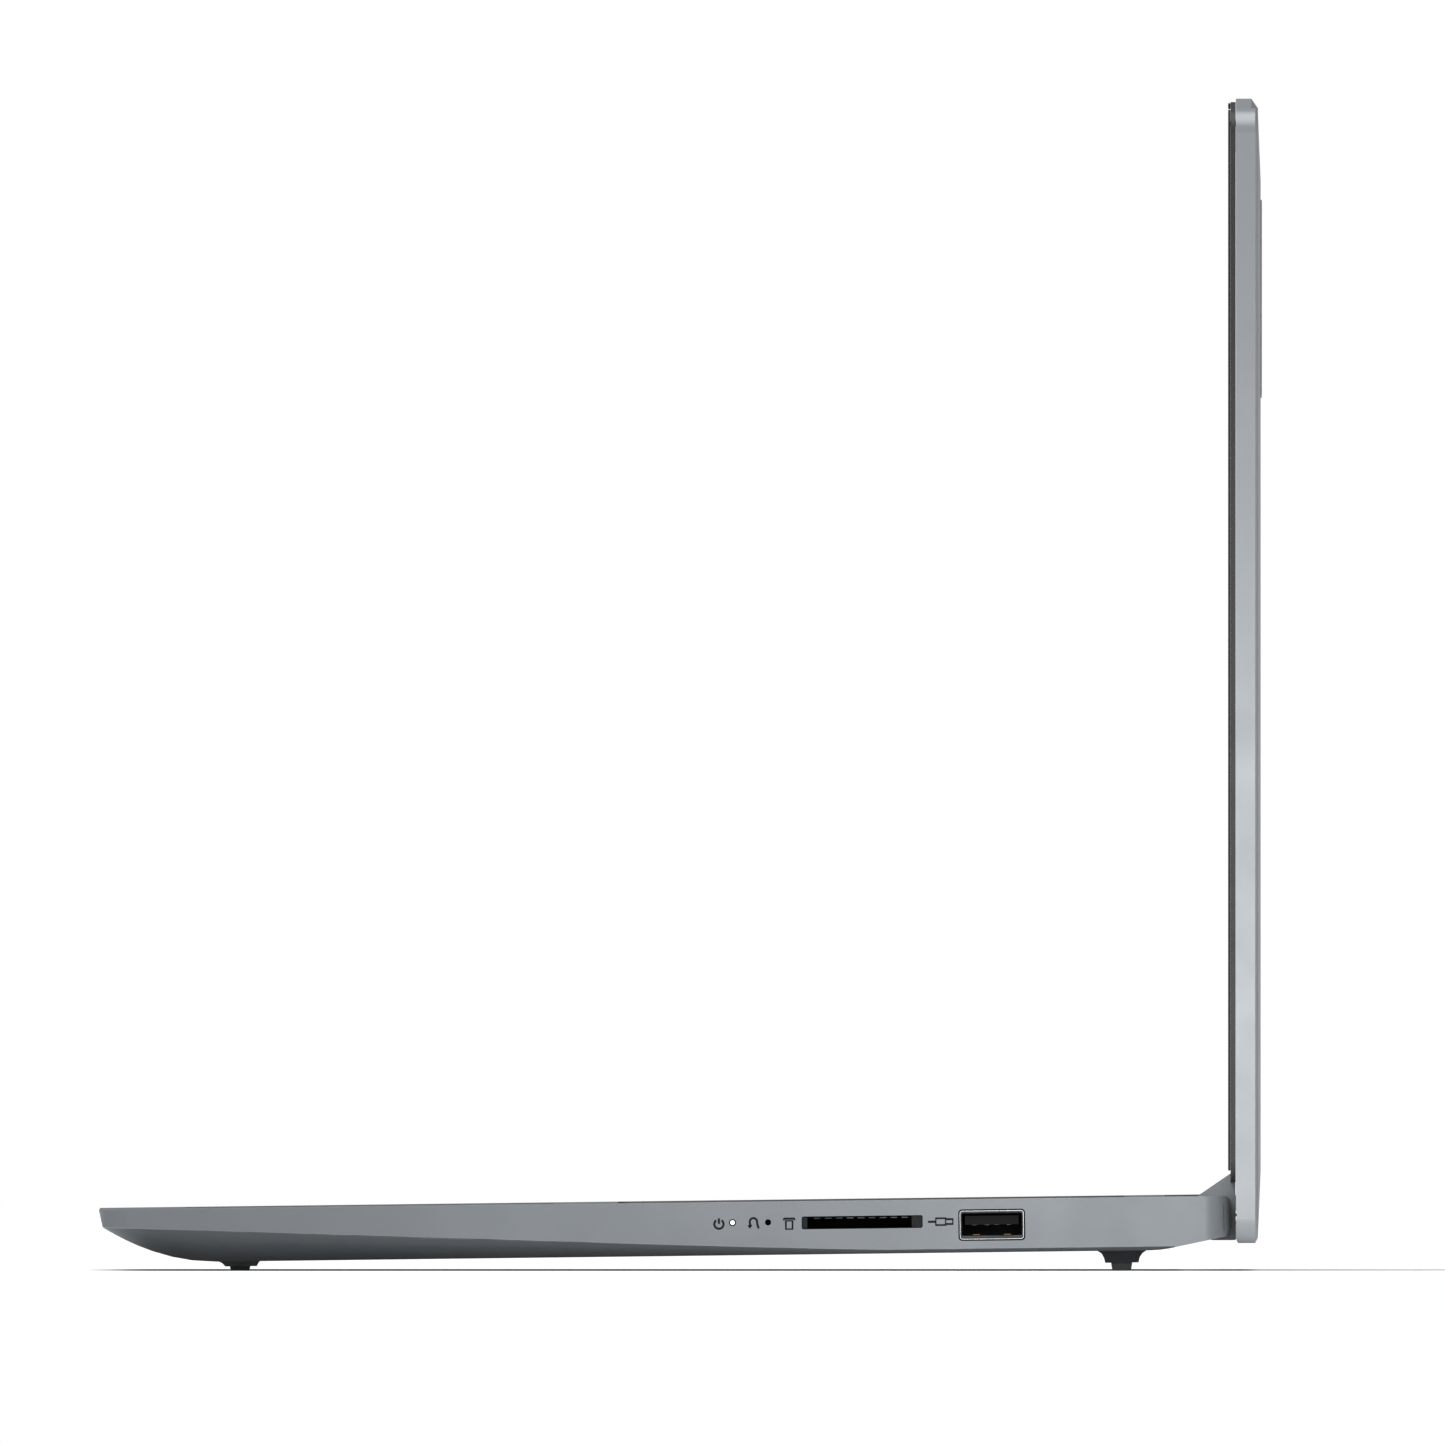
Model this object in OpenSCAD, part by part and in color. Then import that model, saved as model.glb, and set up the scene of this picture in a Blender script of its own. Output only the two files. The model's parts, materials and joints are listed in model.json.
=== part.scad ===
// Slim notebook computer with a metal case and a lay-flat lid, shown with the lid upright.
//
// Desk frame: X to the right, Y to the rear, Z up. The origin is on the desk, below the middle
// of the whole object. The base stands on feet of two heights, so it leans a little forward.
// Base frame: y from the front edge, z from the flat underside. in_base() places it.
// Lid frame: origin on the hinge axis, y to the lid's back, z up the lid. on_lid() places it.

/* [Case] */
// Width of the base and of the lid
case_w = 359.3; // [359.3:0.1:364]
// Height of the base from its flat underside to its deck
base_h = 11; // [11:0.1:11.6]
// Thickness of the case's side walls
wall_t = 1.8; // [1.6:0.1:2]
// Radius of the case's corners seen from above
corner_r = 5.4; // [4:0.1:8]
// Height of the side crease where it meets the front edge
crease_front_z = 7.36; // [7:0.01:7.6]
// Height of the side crease along the rear third
crease_rear_z = 0.8; // [0.7:0.05:1]

/* [Feet] */
// Height of the front feet below the underside
front_foot_h = 1.93; // [1.5:0.01:2.2]
// Height of the rear foot below the underside
rear_foot_h = 4.15; // [3.9:0.01:4.4]

/* [Hinge] */
// Distance of the hinge axis behind the front edge
hinge_y = 227.8; // [227.8:0.1:229]
// Depth of the hinge axis below the deck
hinge_drop = 4.17; // [4.1:0.01:4.25]
// Radius of the barrel of the hinge cover
barrel_r = 4.3; // [4.2:0.05:4.35]
// Half of the length of the hinge cover
cover_half = 149.5; // [148:0.5:149.5]

/* [Lid] */
// Height of the lid's top edge above the hinge axis
lid_top = 227.7; // [226:0.1:228]
// Depth of the lid's outer face behind the hinge axis
lid_back = 11; // [10.9:0.1:11.4]
// Rise of the camera bump above the lid's top edge
bump_h = 1.9; // [1:0.1:3]

/* [Screen] */
// Width of the lit area of the screen
active_w = 344.2; // [330:0.1:344.2]
// Height of the lit area of the screen
active_h = 193.6; // [185:0.1:194]

/* [Keyboard] */
// Spacing of the keys in the main block
key_pitch = 18.1; // [17.6:0.1:18.1]
// Spacing of the keys in the numeric pad
pad_pitch = 14.5; // [14:0.1:14.5]
// Gap between neighbouring keys
key_gap = 2.2; // [1.8:0.1:3]
// Depth of the function row
function_row_d = 12; // [10:0.5:12]
// Travel of a key
key_travel = 1.2; // [0.8:0.1:1.2]

/* [Touchpad] */
// Width of the touchpad
touchpad_w = 120; // [90:1:130]
// Depth of the touchpad
touchpad_d = 75; // [60:1:75]

/* [Hidden] */
$fn = 48;

// Colours
body_grey = [0.56, 0.58, 0.60];
lid_grey = [0.66, 0.68, 0.70];
cover_grey = [0.42, 0.44, 0.46];
dark = [0.20, 0.20, 0.20];
soft_black = [0.10, 0.10, 0.11];
steel = [0.72, 0.73, 0.75];
copper = [0.72, 0.45, 0.28];
gold = [0.83, 0.68, 0.35];
board_green = [0.10, 0.30, 0.20];
key_grey = [0.30, 0.31, 0.33];

// Placing
half_w = case_w / 2;
front_foot_y = 28.85;
rear_foot_y = 210.1;
tilt = atan((rear_foot_h - front_foot_h) / (rear_foot_y - front_foot_y));
base_lift = front_foot_h * cos(tilt) - front_foot_y * sin(tilt);
hinge_z = base_h - hinge_drop;
badge_t = 0.25;
hinge_desk_y = hinge_y * cos(tilt) - hinge_z * sin(tilt);
front_desk_y = -base_h * sin(tilt);
origin_y = (hinge_desk_y + lid_back + badge_t + front_desk_y) / 2;
hinge_desk_z = hinge_y * sin(tilt) + hinge_z * cos(tilt) + base_lift;

// Base levels and places
deck_t = 1.2;
floor_t = 1.2;
deck_in = base_h - deck_t;
nose_y = 0.7;
nose_flat_y = 24;
crease_flat_y = 161;
cover_rear_y = 221;
ramp_start_y = 216;
rear_wall_y = 217.6;
shoulder_x = 150;
shoulder_wall_t = 1.2;
shoulder_reach = 4.8;
shoulder_r = 5.75;
shoulder_end_y = hinge_y + shoulder_reach;
lean = [-0.567, 0.824];
trough_gap = 0.45;
front_margin = 2;

// Keyboard layout, in key pitches from the left of each block
number_units = concat([for (i = [1:13]) 1], [2]);
upper_units = concat([1.5], [for (i = [1:12]) 1], [1.5]);
home_units = concat([1.75], [for (i = [1:11]) 1], [2.25]);
lower_units = concat([2.25], [for (i = [1:10]) 1], [2.75]);
bottom_units = [1.25, 1, 1, 1, 5.5, 1, 1.25];
space_index = 4;
main_units = 15;
function_count = 16;
function_units = [for (i = [1:function_count]) main_units / function_count];
pad_columns = 4;
block_gap = 1.5;
rows = 5;
board_w = main_units * key_pitch + block_gap + pad_columns * pad_pitch;
keys_x = -board_w / 2;
pad_x = keys_x + main_units * key_pitch + block_gap;
keys_y = 107.5;
function_y = keys_y + rows * key_pitch;
keys_rear_y = function_y + function_row_d;
well_margin = 0.8;
key_t = 1.35;
key_top = base_h - 0.05;
key_z = key_top - key_t;
key_r = 1;
frame_z = base_h - 1.8;
frame_t = 1;
key_clear = 0.35;
plate_t = 0.4;
plate_gap = 0.1;
plate_z = key_z - key_travel - plate_gap - plate_t;

// Touchpad
touchpad_x = -25;
touchpad_y = 18;
touchpad_t = 1.2;
touchpad_top = base_h - 0.15;
touchpad_gap = 0.4;
touchpad_pin_y = touchpad_y + touchpad_d - 1.6;
touchpad_pin_z = 8.9;
touchpad_pin_r = 0.4;
touchpad_pin_places = [touchpad_x - 40, touchpad_x + 40];

// Ports on the right side, y and z of their middles
usb_a_y = 183.5;
usb_a_z = 5.645;
card_y = 156.85;
card_z = 6.505;
reset_y = 137.5;
reset_z = 6.72;
light_y = 130.2;
light_z = 6.75;
light_r = 0.56;
// Ports on the left side
left_usb_y = 164.6;
hdmi_y = 185.5;
hdmi_z = 5.4;
usb_c_y = 148.5;
usb_c_z = 5.9;
jack_y = 132;
jack_z = 5.2;
jack_r = 1.8;
power_y = 204;
power_z = 5.4;
power_r = 2.75;
usb_a_size = [13.2, 5.95];
card_size = [24.9, 2.65];
hdmi_size = [15, 5.5];
usb_c_size = [9, 3.2];
port_fit = 0.05;

// Hinge hardware
shaft_r = 1.5;
shaft_fit = 0.03;
ear_x = 151.6;
ear_t = 2;
eye_x0 = 130;
eye_x1 = 146;
shaft_end_x = 124;
cable_x = -118;
cable_w = 1.2;

// Lid places
shell_y = 5.9;
shell_side_y = 9.9;
shell_in_y = 9.6;
lid_bottom = -5.5;
lid_r = 5;
bezel_y = 4.8;
bezel_back_y = 5.85;
bezel_wing_z = 7;
bezel_mid_z = 8.55;
gasket_y = 4.3;
gasket_end_z = 9.4;
active_z = 20.5;
camera_z = 221;
bump_half = 34;
bump_slope = 6;

// Fan
fan_x = 70;
fan_y = 162;
fan_r = 25;

// Fastener places
case_screw_places = [[-160, 26.8], [-90, 26.8], [90, 26.8], [160, 26.8], [-155, 102.6],
    [0, 102.6], [155, 102.6], [-146, 214.3], [146, 214.3]];
board_screw_places = [[-136, 110], [-136, 188], [36, 110], [36, 188]];
hinge_screw_places = [[157.5, 214.4], [160.5, 223]];

// Points along an arc, and the outline of a rectangle with round corners
function arc(cx, cy, r, a0, a1, n = 8) =
    [for (i = [0:n]) [cx + r * cos(a0 + (a1 - a0) * i / n), cy + r * sin(a0 + (a1 - a0) * i / n)]];
function round_box(x0, y0, x1, y1, r, n = 6) = concat(
    arc(x1 - r, y0 + r, r, -90, 0, n), arc(x1 - r, y1 - r, r, 0, 90, n),
    arc(x0 + r, y1 - r, r, 90, 180, n), arc(x0 + r, y0 + r, r, 180, 270, n));

// The base's outline curves: side crease, underside along the middle, half width in plan
function bow(y) = max(0, (crease_flat_y - y) / crease_flat_y);
function crease(y) = crease_rear_z + (crease_front_z - crease_rear_z) * pow(bow(y), 1.11);
function rear_ramp(y) = y < cover_rear_y
    ? 0.022 * pow(max(0, y - ramp_start_y), 2)
    : 0.55 + 0.2 * (y - cover_rear_y);
function underside(y) = y < nose_flat_y
    ? crease(nose_y) * pow((nose_flat_y - y) / (nose_flat_y - nose_y), 2)
    : rear_ramp(y);
function plan_half(y) = y < corner_r
    ? half_w - corner_r + sqrt(pow(corner_r, 2) - pow(corner_r - y, 2))
    : half_w;
function bevel_w(y) = 4 + 16 * pow(bow(y), 0.8);
function skin_z(x, y) = underside(y)
    + (crease(y) - underside(y)) * pow(max(0, 1 - (plan_half(y) - x) / bevel_w(y)), 2);

// Stations along the base: close together where it curves, then even steps
front_stations = [nose_y, 1.2, 2, 3.4, 5.4, 8, 11, 15, 19, nose_flat_y];
middle_stations = [for (y = [nose_flat_y + 13.7:13.7:crease_flat_y]) y];
rear_stations = [190, ramp_start_y, 218, 219.6, cover_rear_y];
stations = concat(front_stations, middle_stations, rear_stations);

module in_base() { translate([0, -origin_y, base_lift]) rotate([tilt, 0, 0]) children(); }
module on_lid() { translate([0, hinge_desk_y - origin_y, hinge_desk_z]) children(); }
module both_sides() { children(); mirror([1, 0, 0]) children(); }

module block(x0, x1, y0, y1, z0, z1) {
    translate([x0, y0, z0]) cube([x1 - x0, y1 - y0, z1 - z0]);
}
// A plate with an outline seen from above
module flat(outline, z0, z1) { translate([0, 0, z0]) linear_extrude(z1 - z0) polygon(outline); }
// A bar with an outline in y and z that runs along X
module along_x(outline, x0, x1) {
    translate([x0, 0, 0]) rotate([90, 0, 90]) linear_extrude(x1 - x0) polygon(outline);
}
// A plate of the lid with an outline in x and z
module upright(outline, y0, y1) {
    translate([0, y1, 0]) rotate([90, 0, 0]) linear_extrude(y1 - y0) polygon(outline);
}
module rod_x(x0, x1, y, z, r) { translate([x0, y, z]) rotate([0, 90, 0]) cylinder(h = x1 - x0, r = r); }
module rod_z(x, y, z0, z1, r) { translate([x, y, z0]) cylinder(h = z1 - z0, r = r); }
// An opening through a side wall, centred on y and z
module side_slot(y, z, size, r, x0, x1) {
    along_x(round_box(y - size[0] / 2, z - size[1] / 2, y + size[0] / 2, z + size[1] / 2, r, 4), x0, x1);
}

// One rib of the boat-shaped underside: round the bevels and floor, then up to a flat top
bevel_steps = 5;
function rib(y, inset, lift, top) = let (
        half = plan_half(y) - inset,
        run = bevel_w(y) - inset,
        side = [for (i = [0:bevel_steps]) half - run * i / bevel_steps])
    concat([[-half, y, top]],
        [for (x = side) [-x, y, skin_z(x, y) + lift]],
        [for (i = [bevel_steps:-1:0]) [side[i], y, skin_z(side[i], y) + lift]],
        [[half, y, top]]);
module boat(ys, inset, lift, top) {
    n = 2 * bevel_steps + 4;
    last = len(ys) - 1;
    points = [for (y = ys) each rib(y, inset, lift, top)];
    sides = [for (s = [0:last - 1]) for (i = [0:n - 1]) let (j = (i + 1) % n)
        each [[s * n + i, s * n + j, (s + 1) * n + j], [s * n + i, (s + 1) * n + j, (s + 1) * n + i]]];
    ends = [[for (i = [n - 1:-1:0]) i], [for (i = [0:n - 1]) last * n + i]];
    polyhedron(points, concat(sides, ends), convexity = 6);
}

// Side outline of the upper case: along the crease, round the shoulder's end, back over the deck
upper_outline = concat(
    [for (y = stations) [y, crease(y)]],
    [[cover_rear_y, underside(cover_rear_y)], [hinge_y + 3.9, underside(hinge_y + 3.9)],
     [shoulder_end_y, hinge_z - 2.5]],
    arc(hinge_y, hinge_z, shoulder_r, asin(sqrt(pow(shoulder_r, 2) - pow(shoulder_reach, 2)) / shoulder_r),
        asin(hinge_drop / shoulder_r), 3),
    [[0.3, base_h], [0, base_h - 0.3]]);
// Where the deck stops and the trough for the hinge cover begins, at a depth below the deck
function trough_y(z) = hinge_y
    - (barrel_r + trough_gap - lean[0] * (z - hinge_z)) / lean[1];
trough_outline = [[trough_y(base_h + 1), base_h + 1], [trough_y(hinge_z), hinge_z],
    [trough_y(hinge_z), -1], [shoulder_end_y + 1, -1], [shoulder_end_y + 1, base_h + 1]];
shoulder_cavity = [[rear_wall_y - 0.1, 1.9], [cover_rear_y, 1.9],
    [hinge_y + 3.5, underside(hinge_y + 3.5) + floor_t], [hinge_y + 3.5, deck_in - 0.8],
    [hinge_y + 2.7, deck_in], [rear_wall_y - 0.1, deck_in]];

// Key rectangles as [x, y, width, depth], the gaps taken off
function sum_to(list, n) = n <= 0 ? 0 : list[n - 1] + sum_to(list, n - 1);
function key_box(x, y, w, d) = [x + key_gap / 2, y + key_gap / 2, w - key_gap, d - key_gap];
function row_keys(units, y, d) = [for (i = [0:len(units) - 1])
    key_box(keys_x + sum_to(units, i) * key_pitch, y, units[i] * key_pitch, d)];
function row_y(row) = keys_y + row * key_pitch;
function pad_key(column, row, w = 1, h = 1) =
    key_box(pad_x + column * pad_pitch, row_y(row), w * pad_pitch, h * key_pitch);
function pad_top_key(column) =
    key_box(pad_x + column * pad_pitch, function_y, pad_pitch, function_row_d);
bottom_row = row_keys(bottom_units, row_y(0), key_pitch);
function_keys_list = concat(row_keys(function_units, function_y, function_row_d),
    [for (c = [0:pad_columns - 2]) pad_top_key(c)]);
number_keys_list = row_keys(number_units, row_y(4), key_pitch);
upper_keys_list = row_keys(upper_units, row_y(3), key_pitch);
home_keys_list = row_keys(home_units, row_y(2), key_pitch);
lower_keys_list = row_keys(lower_units, row_y(1), key_pitch);
bottom_keys_list = [for (i = [0:len(bottom_row) - 1]) if (i != space_index) bottom_row[i]];
arrow_x = keys_x + 12 * key_pitch;
half_row = key_pitch / 2;
arrow_keys_list = [for (place = [[0, 0], [1, 0], [2, 0], [1, 1]])
    [arrow_x + place[0] * key_pitch + key_gap / 2,
     keys_y + place[1] * (half_row + 0.3) + key_gap / 2 - 0.3 * place[1],
     key_pitch - key_gap, half_row - key_gap + 0.7]];
pad_keys_list = concat(
    [for (c = [0:3]) pad_key(c, 4)], [for (c = [0:2]) pad_key(c, 3)],
    [for (c = [0:2]) pad_key(c, 2)], [for (c = [0:2]) pad_key(c, 1)],
    [pad_key(3, 2, 1, 2), pad_key(3, 0, 1, 2), pad_key(0, 0, 2, 1), pad_key(2, 0)]);
power_key_list = [pad_top_key(pad_columns - 1)];
all_keys = concat(function_keys_list, number_keys_list, upper_keys_list, home_keys_list,
    lower_keys_list, bottom_row, arrow_keys_list, pad_keys_list, power_key_list);
function grown(k, g, r) = round_box(k[0] - g, k[1] - g, k[0] + k[2] + g, k[1] + k[3] + g, r, 3);

module keys(list, colour) {
    color(colour) in_base() for (k = list) flat(grown(k, 0, key_r), key_z, key_top);
}

// Base casing

module upper_case() {
    color(body_grey) in_base() difference() {
        union() {
            difference() {
                intersection() {
                    along_x(upper_outline, -half_w, half_w);
                    flat(round_box(-half_w, 0, half_w, shoulder_end_y, corner_r, 8), -1, base_h + 1);
                }
                along_x(trough_outline, -shoulder_x, shoulder_x);
                case_cavity();
                deck_openings();
            }
            key_frame();
            for (p = case_screw_places) rod_z(p[0], p[1], floor_t + 0.1, deck_in + 0.1, 2.6);
            both_sides() for (p = hinge_screw_places) rod_z(p[0], p[1], plate_z - 0.2, deck_in + 0.1, 2.4);
        }
        for (p = case_screw_places) rod_z(p[0], p[1], 0, deck_in - 2, 1);
        both_sides() for (p = hinge_screw_places) rod_z(p[0], p[1], 5, deck_in - 0.2, 1.25);
        both_sides() rod_x(shoulder_x - 1, shoulder_x + 2, hinge_y, hinge_z, shaft_r + 0.3);
        right_openings();
        left_openings();
        for (i = [0:15]) block(47 + i * 3, 49 + i * 3, rear_wall_y - 1, 225, 2.4, 6.4);
        block(cable_x - 1, cable_x + 1, rear_wall_y - 1, 225, hinge_z - 0.9, hinge_z + 0.9);
    }
}
module case_cavity() {
    inner = half_w - wall_t;
    flat(round_box(-inner, front_margin, inner, rear_wall_y, 3.6), -1, deck_in);
    both_sides() along_x(shoulder_cavity, shoulder_x + shoulder_wall_t, inner);
}
module deck_openings() {
    m = well_margin;
    flat(round_box(keys_x - m, keys_y - m, -keys_x + m, keys_rear_y + m, 2), frame_z, base_h + 1);
    flat(round_box(touchpad_x - touchpad_w / 2 - touchpad_gap, touchpad_y - touchpad_gap,
        touchpad_x + touchpad_w / 2 + touchpad_gap, touchpad_y + touchpad_d + touchpad_gap, 2),
        deck_in - 1, base_h + 1);
}
// The web between the keys, sunk below the deck
module key_frame() {
    m = well_margin + 2;
    translate([0, 0, frame_z]) linear_extrude(frame_t) difference() {
        polygon(round_box(keys_x - m, keys_y - m, -keys_x + m, keys_rear_y + m, 3));
        for (k = all_keys) polygon(grown(k, key_clear, key_r));
    }
}
module right_openings() {
    x0 = half_w - wall_t - 1;
    x1 = half_w + 1;
    side_slot(usb_a_y, usb_a_z, usb_a_size + [2, 2] * port_fit, 0.6, x0, x1);
    side_slot(card_y, card_z, card_size, 0.4, x0, x1);
    rod_x(x0, x1, reset_y, reset_z, 0.65);
    rod_x(x0, x1, light_y, light_z, light_r + 0.04);
}
module left_openings() {
    x0 = -half_w - 1;
    x1 = -half_w + wall_t + 1;
    side_slot(left_usb_y, usb_a_z, usb_a_size + [2, 2] * port_fit, 0.6, x0, x1);
    side_slot(hdmi_y, hdmi_z, hdmi_size + [2, 2] * port_fit, 0.8, x0, x1);
    side_slot(usb_c_y, usb_c_z, usb_c_size + [2, 2] * port_fit, 1.6, x0, x1);
    rod_x(x0, x1, jack_y, jack_z, 2.95);
    rod_x(x0, x1, power_y, power_z, 3.55);
}

// The pan below the crease, with the raised seats for the feet
module bottom_cover() {
    inner_stations = [for (y = stations) if (y > front_margin && y < rear_wall_y) y];
    above = concat([for (y = stations) [y, crease(y)]],
        [[cover_rear_y + 1, crease_rear_z], [cover_rear_y + 1, base_h + 2],
         [nose_y - 1, base_h + 2], [nose_y - 1, crease(nose_y)]]);
    color(cover_grey) in_base() difference() {
        union() {
            boat(stations, 0, 0, base_h);
            foot_seats();
        }
        boat(concat(inner_stations, [rear_wall_y]), wall_t, floor_t, base_h + 1);
        along_x(above, -half_w - 1, half_w + 1);
        for (p = case_screw_places) {
            rod_z(p[0], p[1], -1, 0.75, 2.1);
            rod_z(p[0], p[1], -1, 3, 1.1);
        }
        for (i = [0:13]) block(fan_x - 17, fan_x + 17, fan_y - 20 + i * 3, fan_y - 18.4 + i * 3, -1, 2);
        both_sides() for (i = [0:8]) block(160 - i * 0.4, 166, 60 + i * 3, 61.2 + i * 3, -1, 3);
    }
}
front_seat = [[24.4, 0.5], [24.4, 0], [25.2, -0.35], [25.8, -1.03], [32.3, -1.03], [32.7, -0.3],
    [33, 0], [33, 0.5]];
rear_seat = [[205.1, 0.5], [205.1, 0], [206, -0.6], [206.5, -1.5], [206.7, -2.5], [213.6, -2.5],
    [213.8, -1.5], [214.4, -0.6], [215.3, 0], [215.3, 0.5]];
module foot_seats() {
    both_sides() along_x(front_seat, 96, 146);
    along_x(rear_seat, -141, 141);
}
// Rubber pads, worn flat on the desk
module foot_pad(y0, y1, z0, z1, x0, x1) {
    difference() {
        in_base() along_x([[y0, z1], [y0 + 0.3, z0], [y1 - 0.3, z0], [y1, z1]], x0, x1);
        block(-200, 200, -200, 200, -5, 0);
    }
}
module front_feet() {
    color(dark) both_sides() foot_pad(26.7, 31, -front_foot_h - 0.1, -1.03, 97, 145);
}
module rear_foot() { color(dark) foot_pad(207.9, 212.3, -rear_foot_h - 0.1, -2.5, -140, 140); }

module bottom_screws() {
    color(steel) in_base() for (p = case_screw_places) {
        rod_z(p[0], p[1], 0.05, 0.72, 1.9);
        rod_z(p[0], p[1], 0.7, 6, 0.97);
    }
}

// Keyboard

module keyboard_plate() {
    m = well_margin;
    color(steel) in_base() difference() {
        union() {
            flat(round_box(keys_x + m, keys_y, -keys_x - m, keys_rear_y, 2), plate_z, plate_z + plate_t);
            for (p = board_screw_places) rod_z(p[0], p[1], 4.25, plate_z + 0.1, 2);
        }
        for (p = board_screw_places) rod_z(p[0], p[1], 4, 7, 0.8);
    }
}
module function_keys() { keys(function_keys_list, key_grey); }
module number_row_keys() { keys(number_keys_list, key_grey); }
module upper_row_keys() { keys(upper_keys_list, key_grey); }
module home_row_keys() { keys(home_keys_list, key_grey); }
module lower_row_keys() { keys(lower_keys_list, key_grey); }
module bottom_row_keys() { keys(bottom_keys_list, key_grey); }
module space_bar() { keys([bottom_row[space_index]], key_grey); }
module arrow_keys() { keys(arrow_keys_list, key_grey); }
module numeric_pad_keys() { keys(pad_keys_list, key_grey); }
module power_button() { keys(power_key_list, key_grey); }

// Touchpad: hinged on two pins near its rear edge, with a switch below its front edge

module touchpad() {
    under = touchpad_top - touchpad_t;
    color(body_grey) in_base() {
        flat(round_box(touchpad_x - touchpad_w / 2, touchpad_y, touchpad_x + touchpad_w / 2,
            touchpad_y + touchpad_d, 1.6), under, touchpad_top);
        for (x = touchpad_pin_places) {
            rod_x(x - 3, x + 3, touchpad_pin_y, touchpad_pin_z, touchpad_pin_r);
            for (side = [-1, 1]) block(x + side * 2.4 - 0.6, x + side * 2.4 + 0.6, touchpad_pin_y - 0.6,
                touchpad_pin_y + 0.6, touchpad_pin_z - 0.5, under + 0.1);
        }
    }
}
module touchpad_bracket() {
    x0 = touchpad_x - touchpad_w / 2 + 4;
    x1 = touchpad_x + touchpad_w / 2 - 4;
    rear = touchpad_y + touchpad_d - 1;
    color(steel) in_base() difference() {
        union() {
            block(x0, x1, touchpad_y + 5, rear, 7.6, 8.2);
            block(touchpad_x - 3, touchpad_x + 3, touchpad_y + 8, touchpad_y + 14, 8.1, 8.95);
            for (x = touchpad_pin_places) {
                rod_x(x - 1.5, x + 1.5, touchpad_pin_y, touchpad_pin_z, 0.68);
                block(x - 1.5, x + 1.5, touchpad_pin_y - 0.68, touchpad_pin_y + 0.68, 8.1, touchpad_pin_z);
            }
        }
        for (x = touchpad_pin_places)
            rod_x(x - 4, x + 4, touchpad_pin_y, touchpad_pin_z, touchpad_pin_r + shaft_fit);
    }
}

// Electronics

module system_board() {
    color(board_green) in_base() difference() {
        union() {
            flat(round_box(-140, 107, 40, 192, 1), 3.2, 4.2);
            block(-165.5, -139, 126, 199, 3.2, 4.2);
        }
        for (p = board_screw_places) rod_z(p[0], p[1], 3, 5, 1);
    }
}
module board_screws() {
    color(steel) in_base() for (p = board_screw_places) {
        rod_z(p[0], p[1], 2.3, 3.18, 1.8);
        rod_z(p[0], p[1], 3.1, 6.5, 0.77);
    }
}
module processor() {
    color(dark) in_base() {
        flat(round_box(-26, 140, 10, 164, 0.6), 4.22, 4.7);
        flat(round_box(-20, 144, 4, 160, 0.4), 4.65, 5.28);
    }
}
module heat_spreader() {
    color(copper) in_base() flat(round_box(-28, 137, 12, 167, 2), 5.3, 5.88);
}
module heat_pipe() {
    color(copper) in_base() translate([0, 0, 5.9]) linear_extrude(1.7) union() {
        polygon(round_box(-12, 140, -4, 198, 3.9));
        polygon(round_box(-12, 196, 95, 204, 3.9));
    }
}
module heat_sink_fins() {
    color(copper) in_base() {
        block(46, 94, 194.2, 206, 5.35, 5.88);
        for (i = [0:21]) block(46.2 + i * 2.26, 46.5 + i * 2.26, 194.2, 206, 2, 5.4);
    }
}
module fan_housing() {
    color(dark) in_base() difference() {
        flat(round_box(fan_x - 28, fan_y - 28, fan_x + 28, fan_y + 30, 6), 1.5, 6.5);
        rod_z(fan_x, fan_y, 2.1, 5.9, fan_r + 1.5);
        block(fan_x - 23, fan_x + 23, fan_y, fan_y + 31, 2.1, 5.9);
        rod_z(fan_x, fan_y, 1, 3, 19);
    }
    color(steel) in_base() rod_z(fan_x, fan_y, 2.4, 6, shaft_r);
}
module fan_rotor() {
    blades = 17;
    color(soft_black) in_base() translate([fan_x, fan_y, 2.3]) difference() {
        union() {
            cylinder(h = 3.3, r = 8);
            for (i = [0:blades - 1]) rotate([0, 0, i * 360 / blades])
                translate([7.4, 0, 0]) rotate([0, 0, 24]) cube([17, 0.6, 3.2]);
        }
        translate([0, 0, -1]) cylinder(h = 6, r = shaft_r + shaft_fit);
    }
}
module battery_pack() {
    color(dark) in_base() difference() {
        flat(round_box(-150, 31, 150, 99.5, 2), 1.4, 7.4);
        for (i = [-2:2]) block(i * 60 - 0.5, i * 60 + 0.5, 33, 97, 6.9, 8);
    }
}
module solid_state_drive() {
    color(board_green) in_base() {
        block(-130, -50, 112, 134, 4.7, 5.5);
        for (i = [0:2]) block(-124 + i * 24, -106 + i * 24, 114, 132, 5.4, 6.4);
    }
}
module memory_module() {
    color(board_green) in_base() {
        block(-130, -60.4, 138, 168, 4.7, 5.7);
        for (i = [0:3]) block(-128 + i * 17, -115 + i * 17, 144, 156, 5.6, 6.6);
    }
}
module wireless_card() {
    color(steel) in_base() {
        block(-44, -22, 108.5, 136, 4.7, 5.4);
        block(-43, -23, 112, 128, 5.3, 6.6);
    }
}
module io_board() {
    color(board_green) in_base() difference() {
        union() {
            block(148, 174, 122, 198, 1.6, 2.6);
            block(170, 174, reset_y - 2.2, reset_y + 2.2, 2.5, 8.4);
        }
        rod_x(171.5, 175, reset_y, reset_z, 0.85);
    }
}
module io_cable() { color(dark) in_base() block(40.5, 147.9, 124, 130, 2, 2.3); }
module speakers() {
    color(soft_black) in_base() both_sides() difference() {
        flat(round_box(152.5, 30, 171.5, 82, 2), 3.4, 8.6);
        flat(round_box(155, 34, 165, 78, 3), 3, 3.9);
    }
}

// Ports. A socket for a flat plug: a metal shell, and a tongue fixed to its back wall

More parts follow.
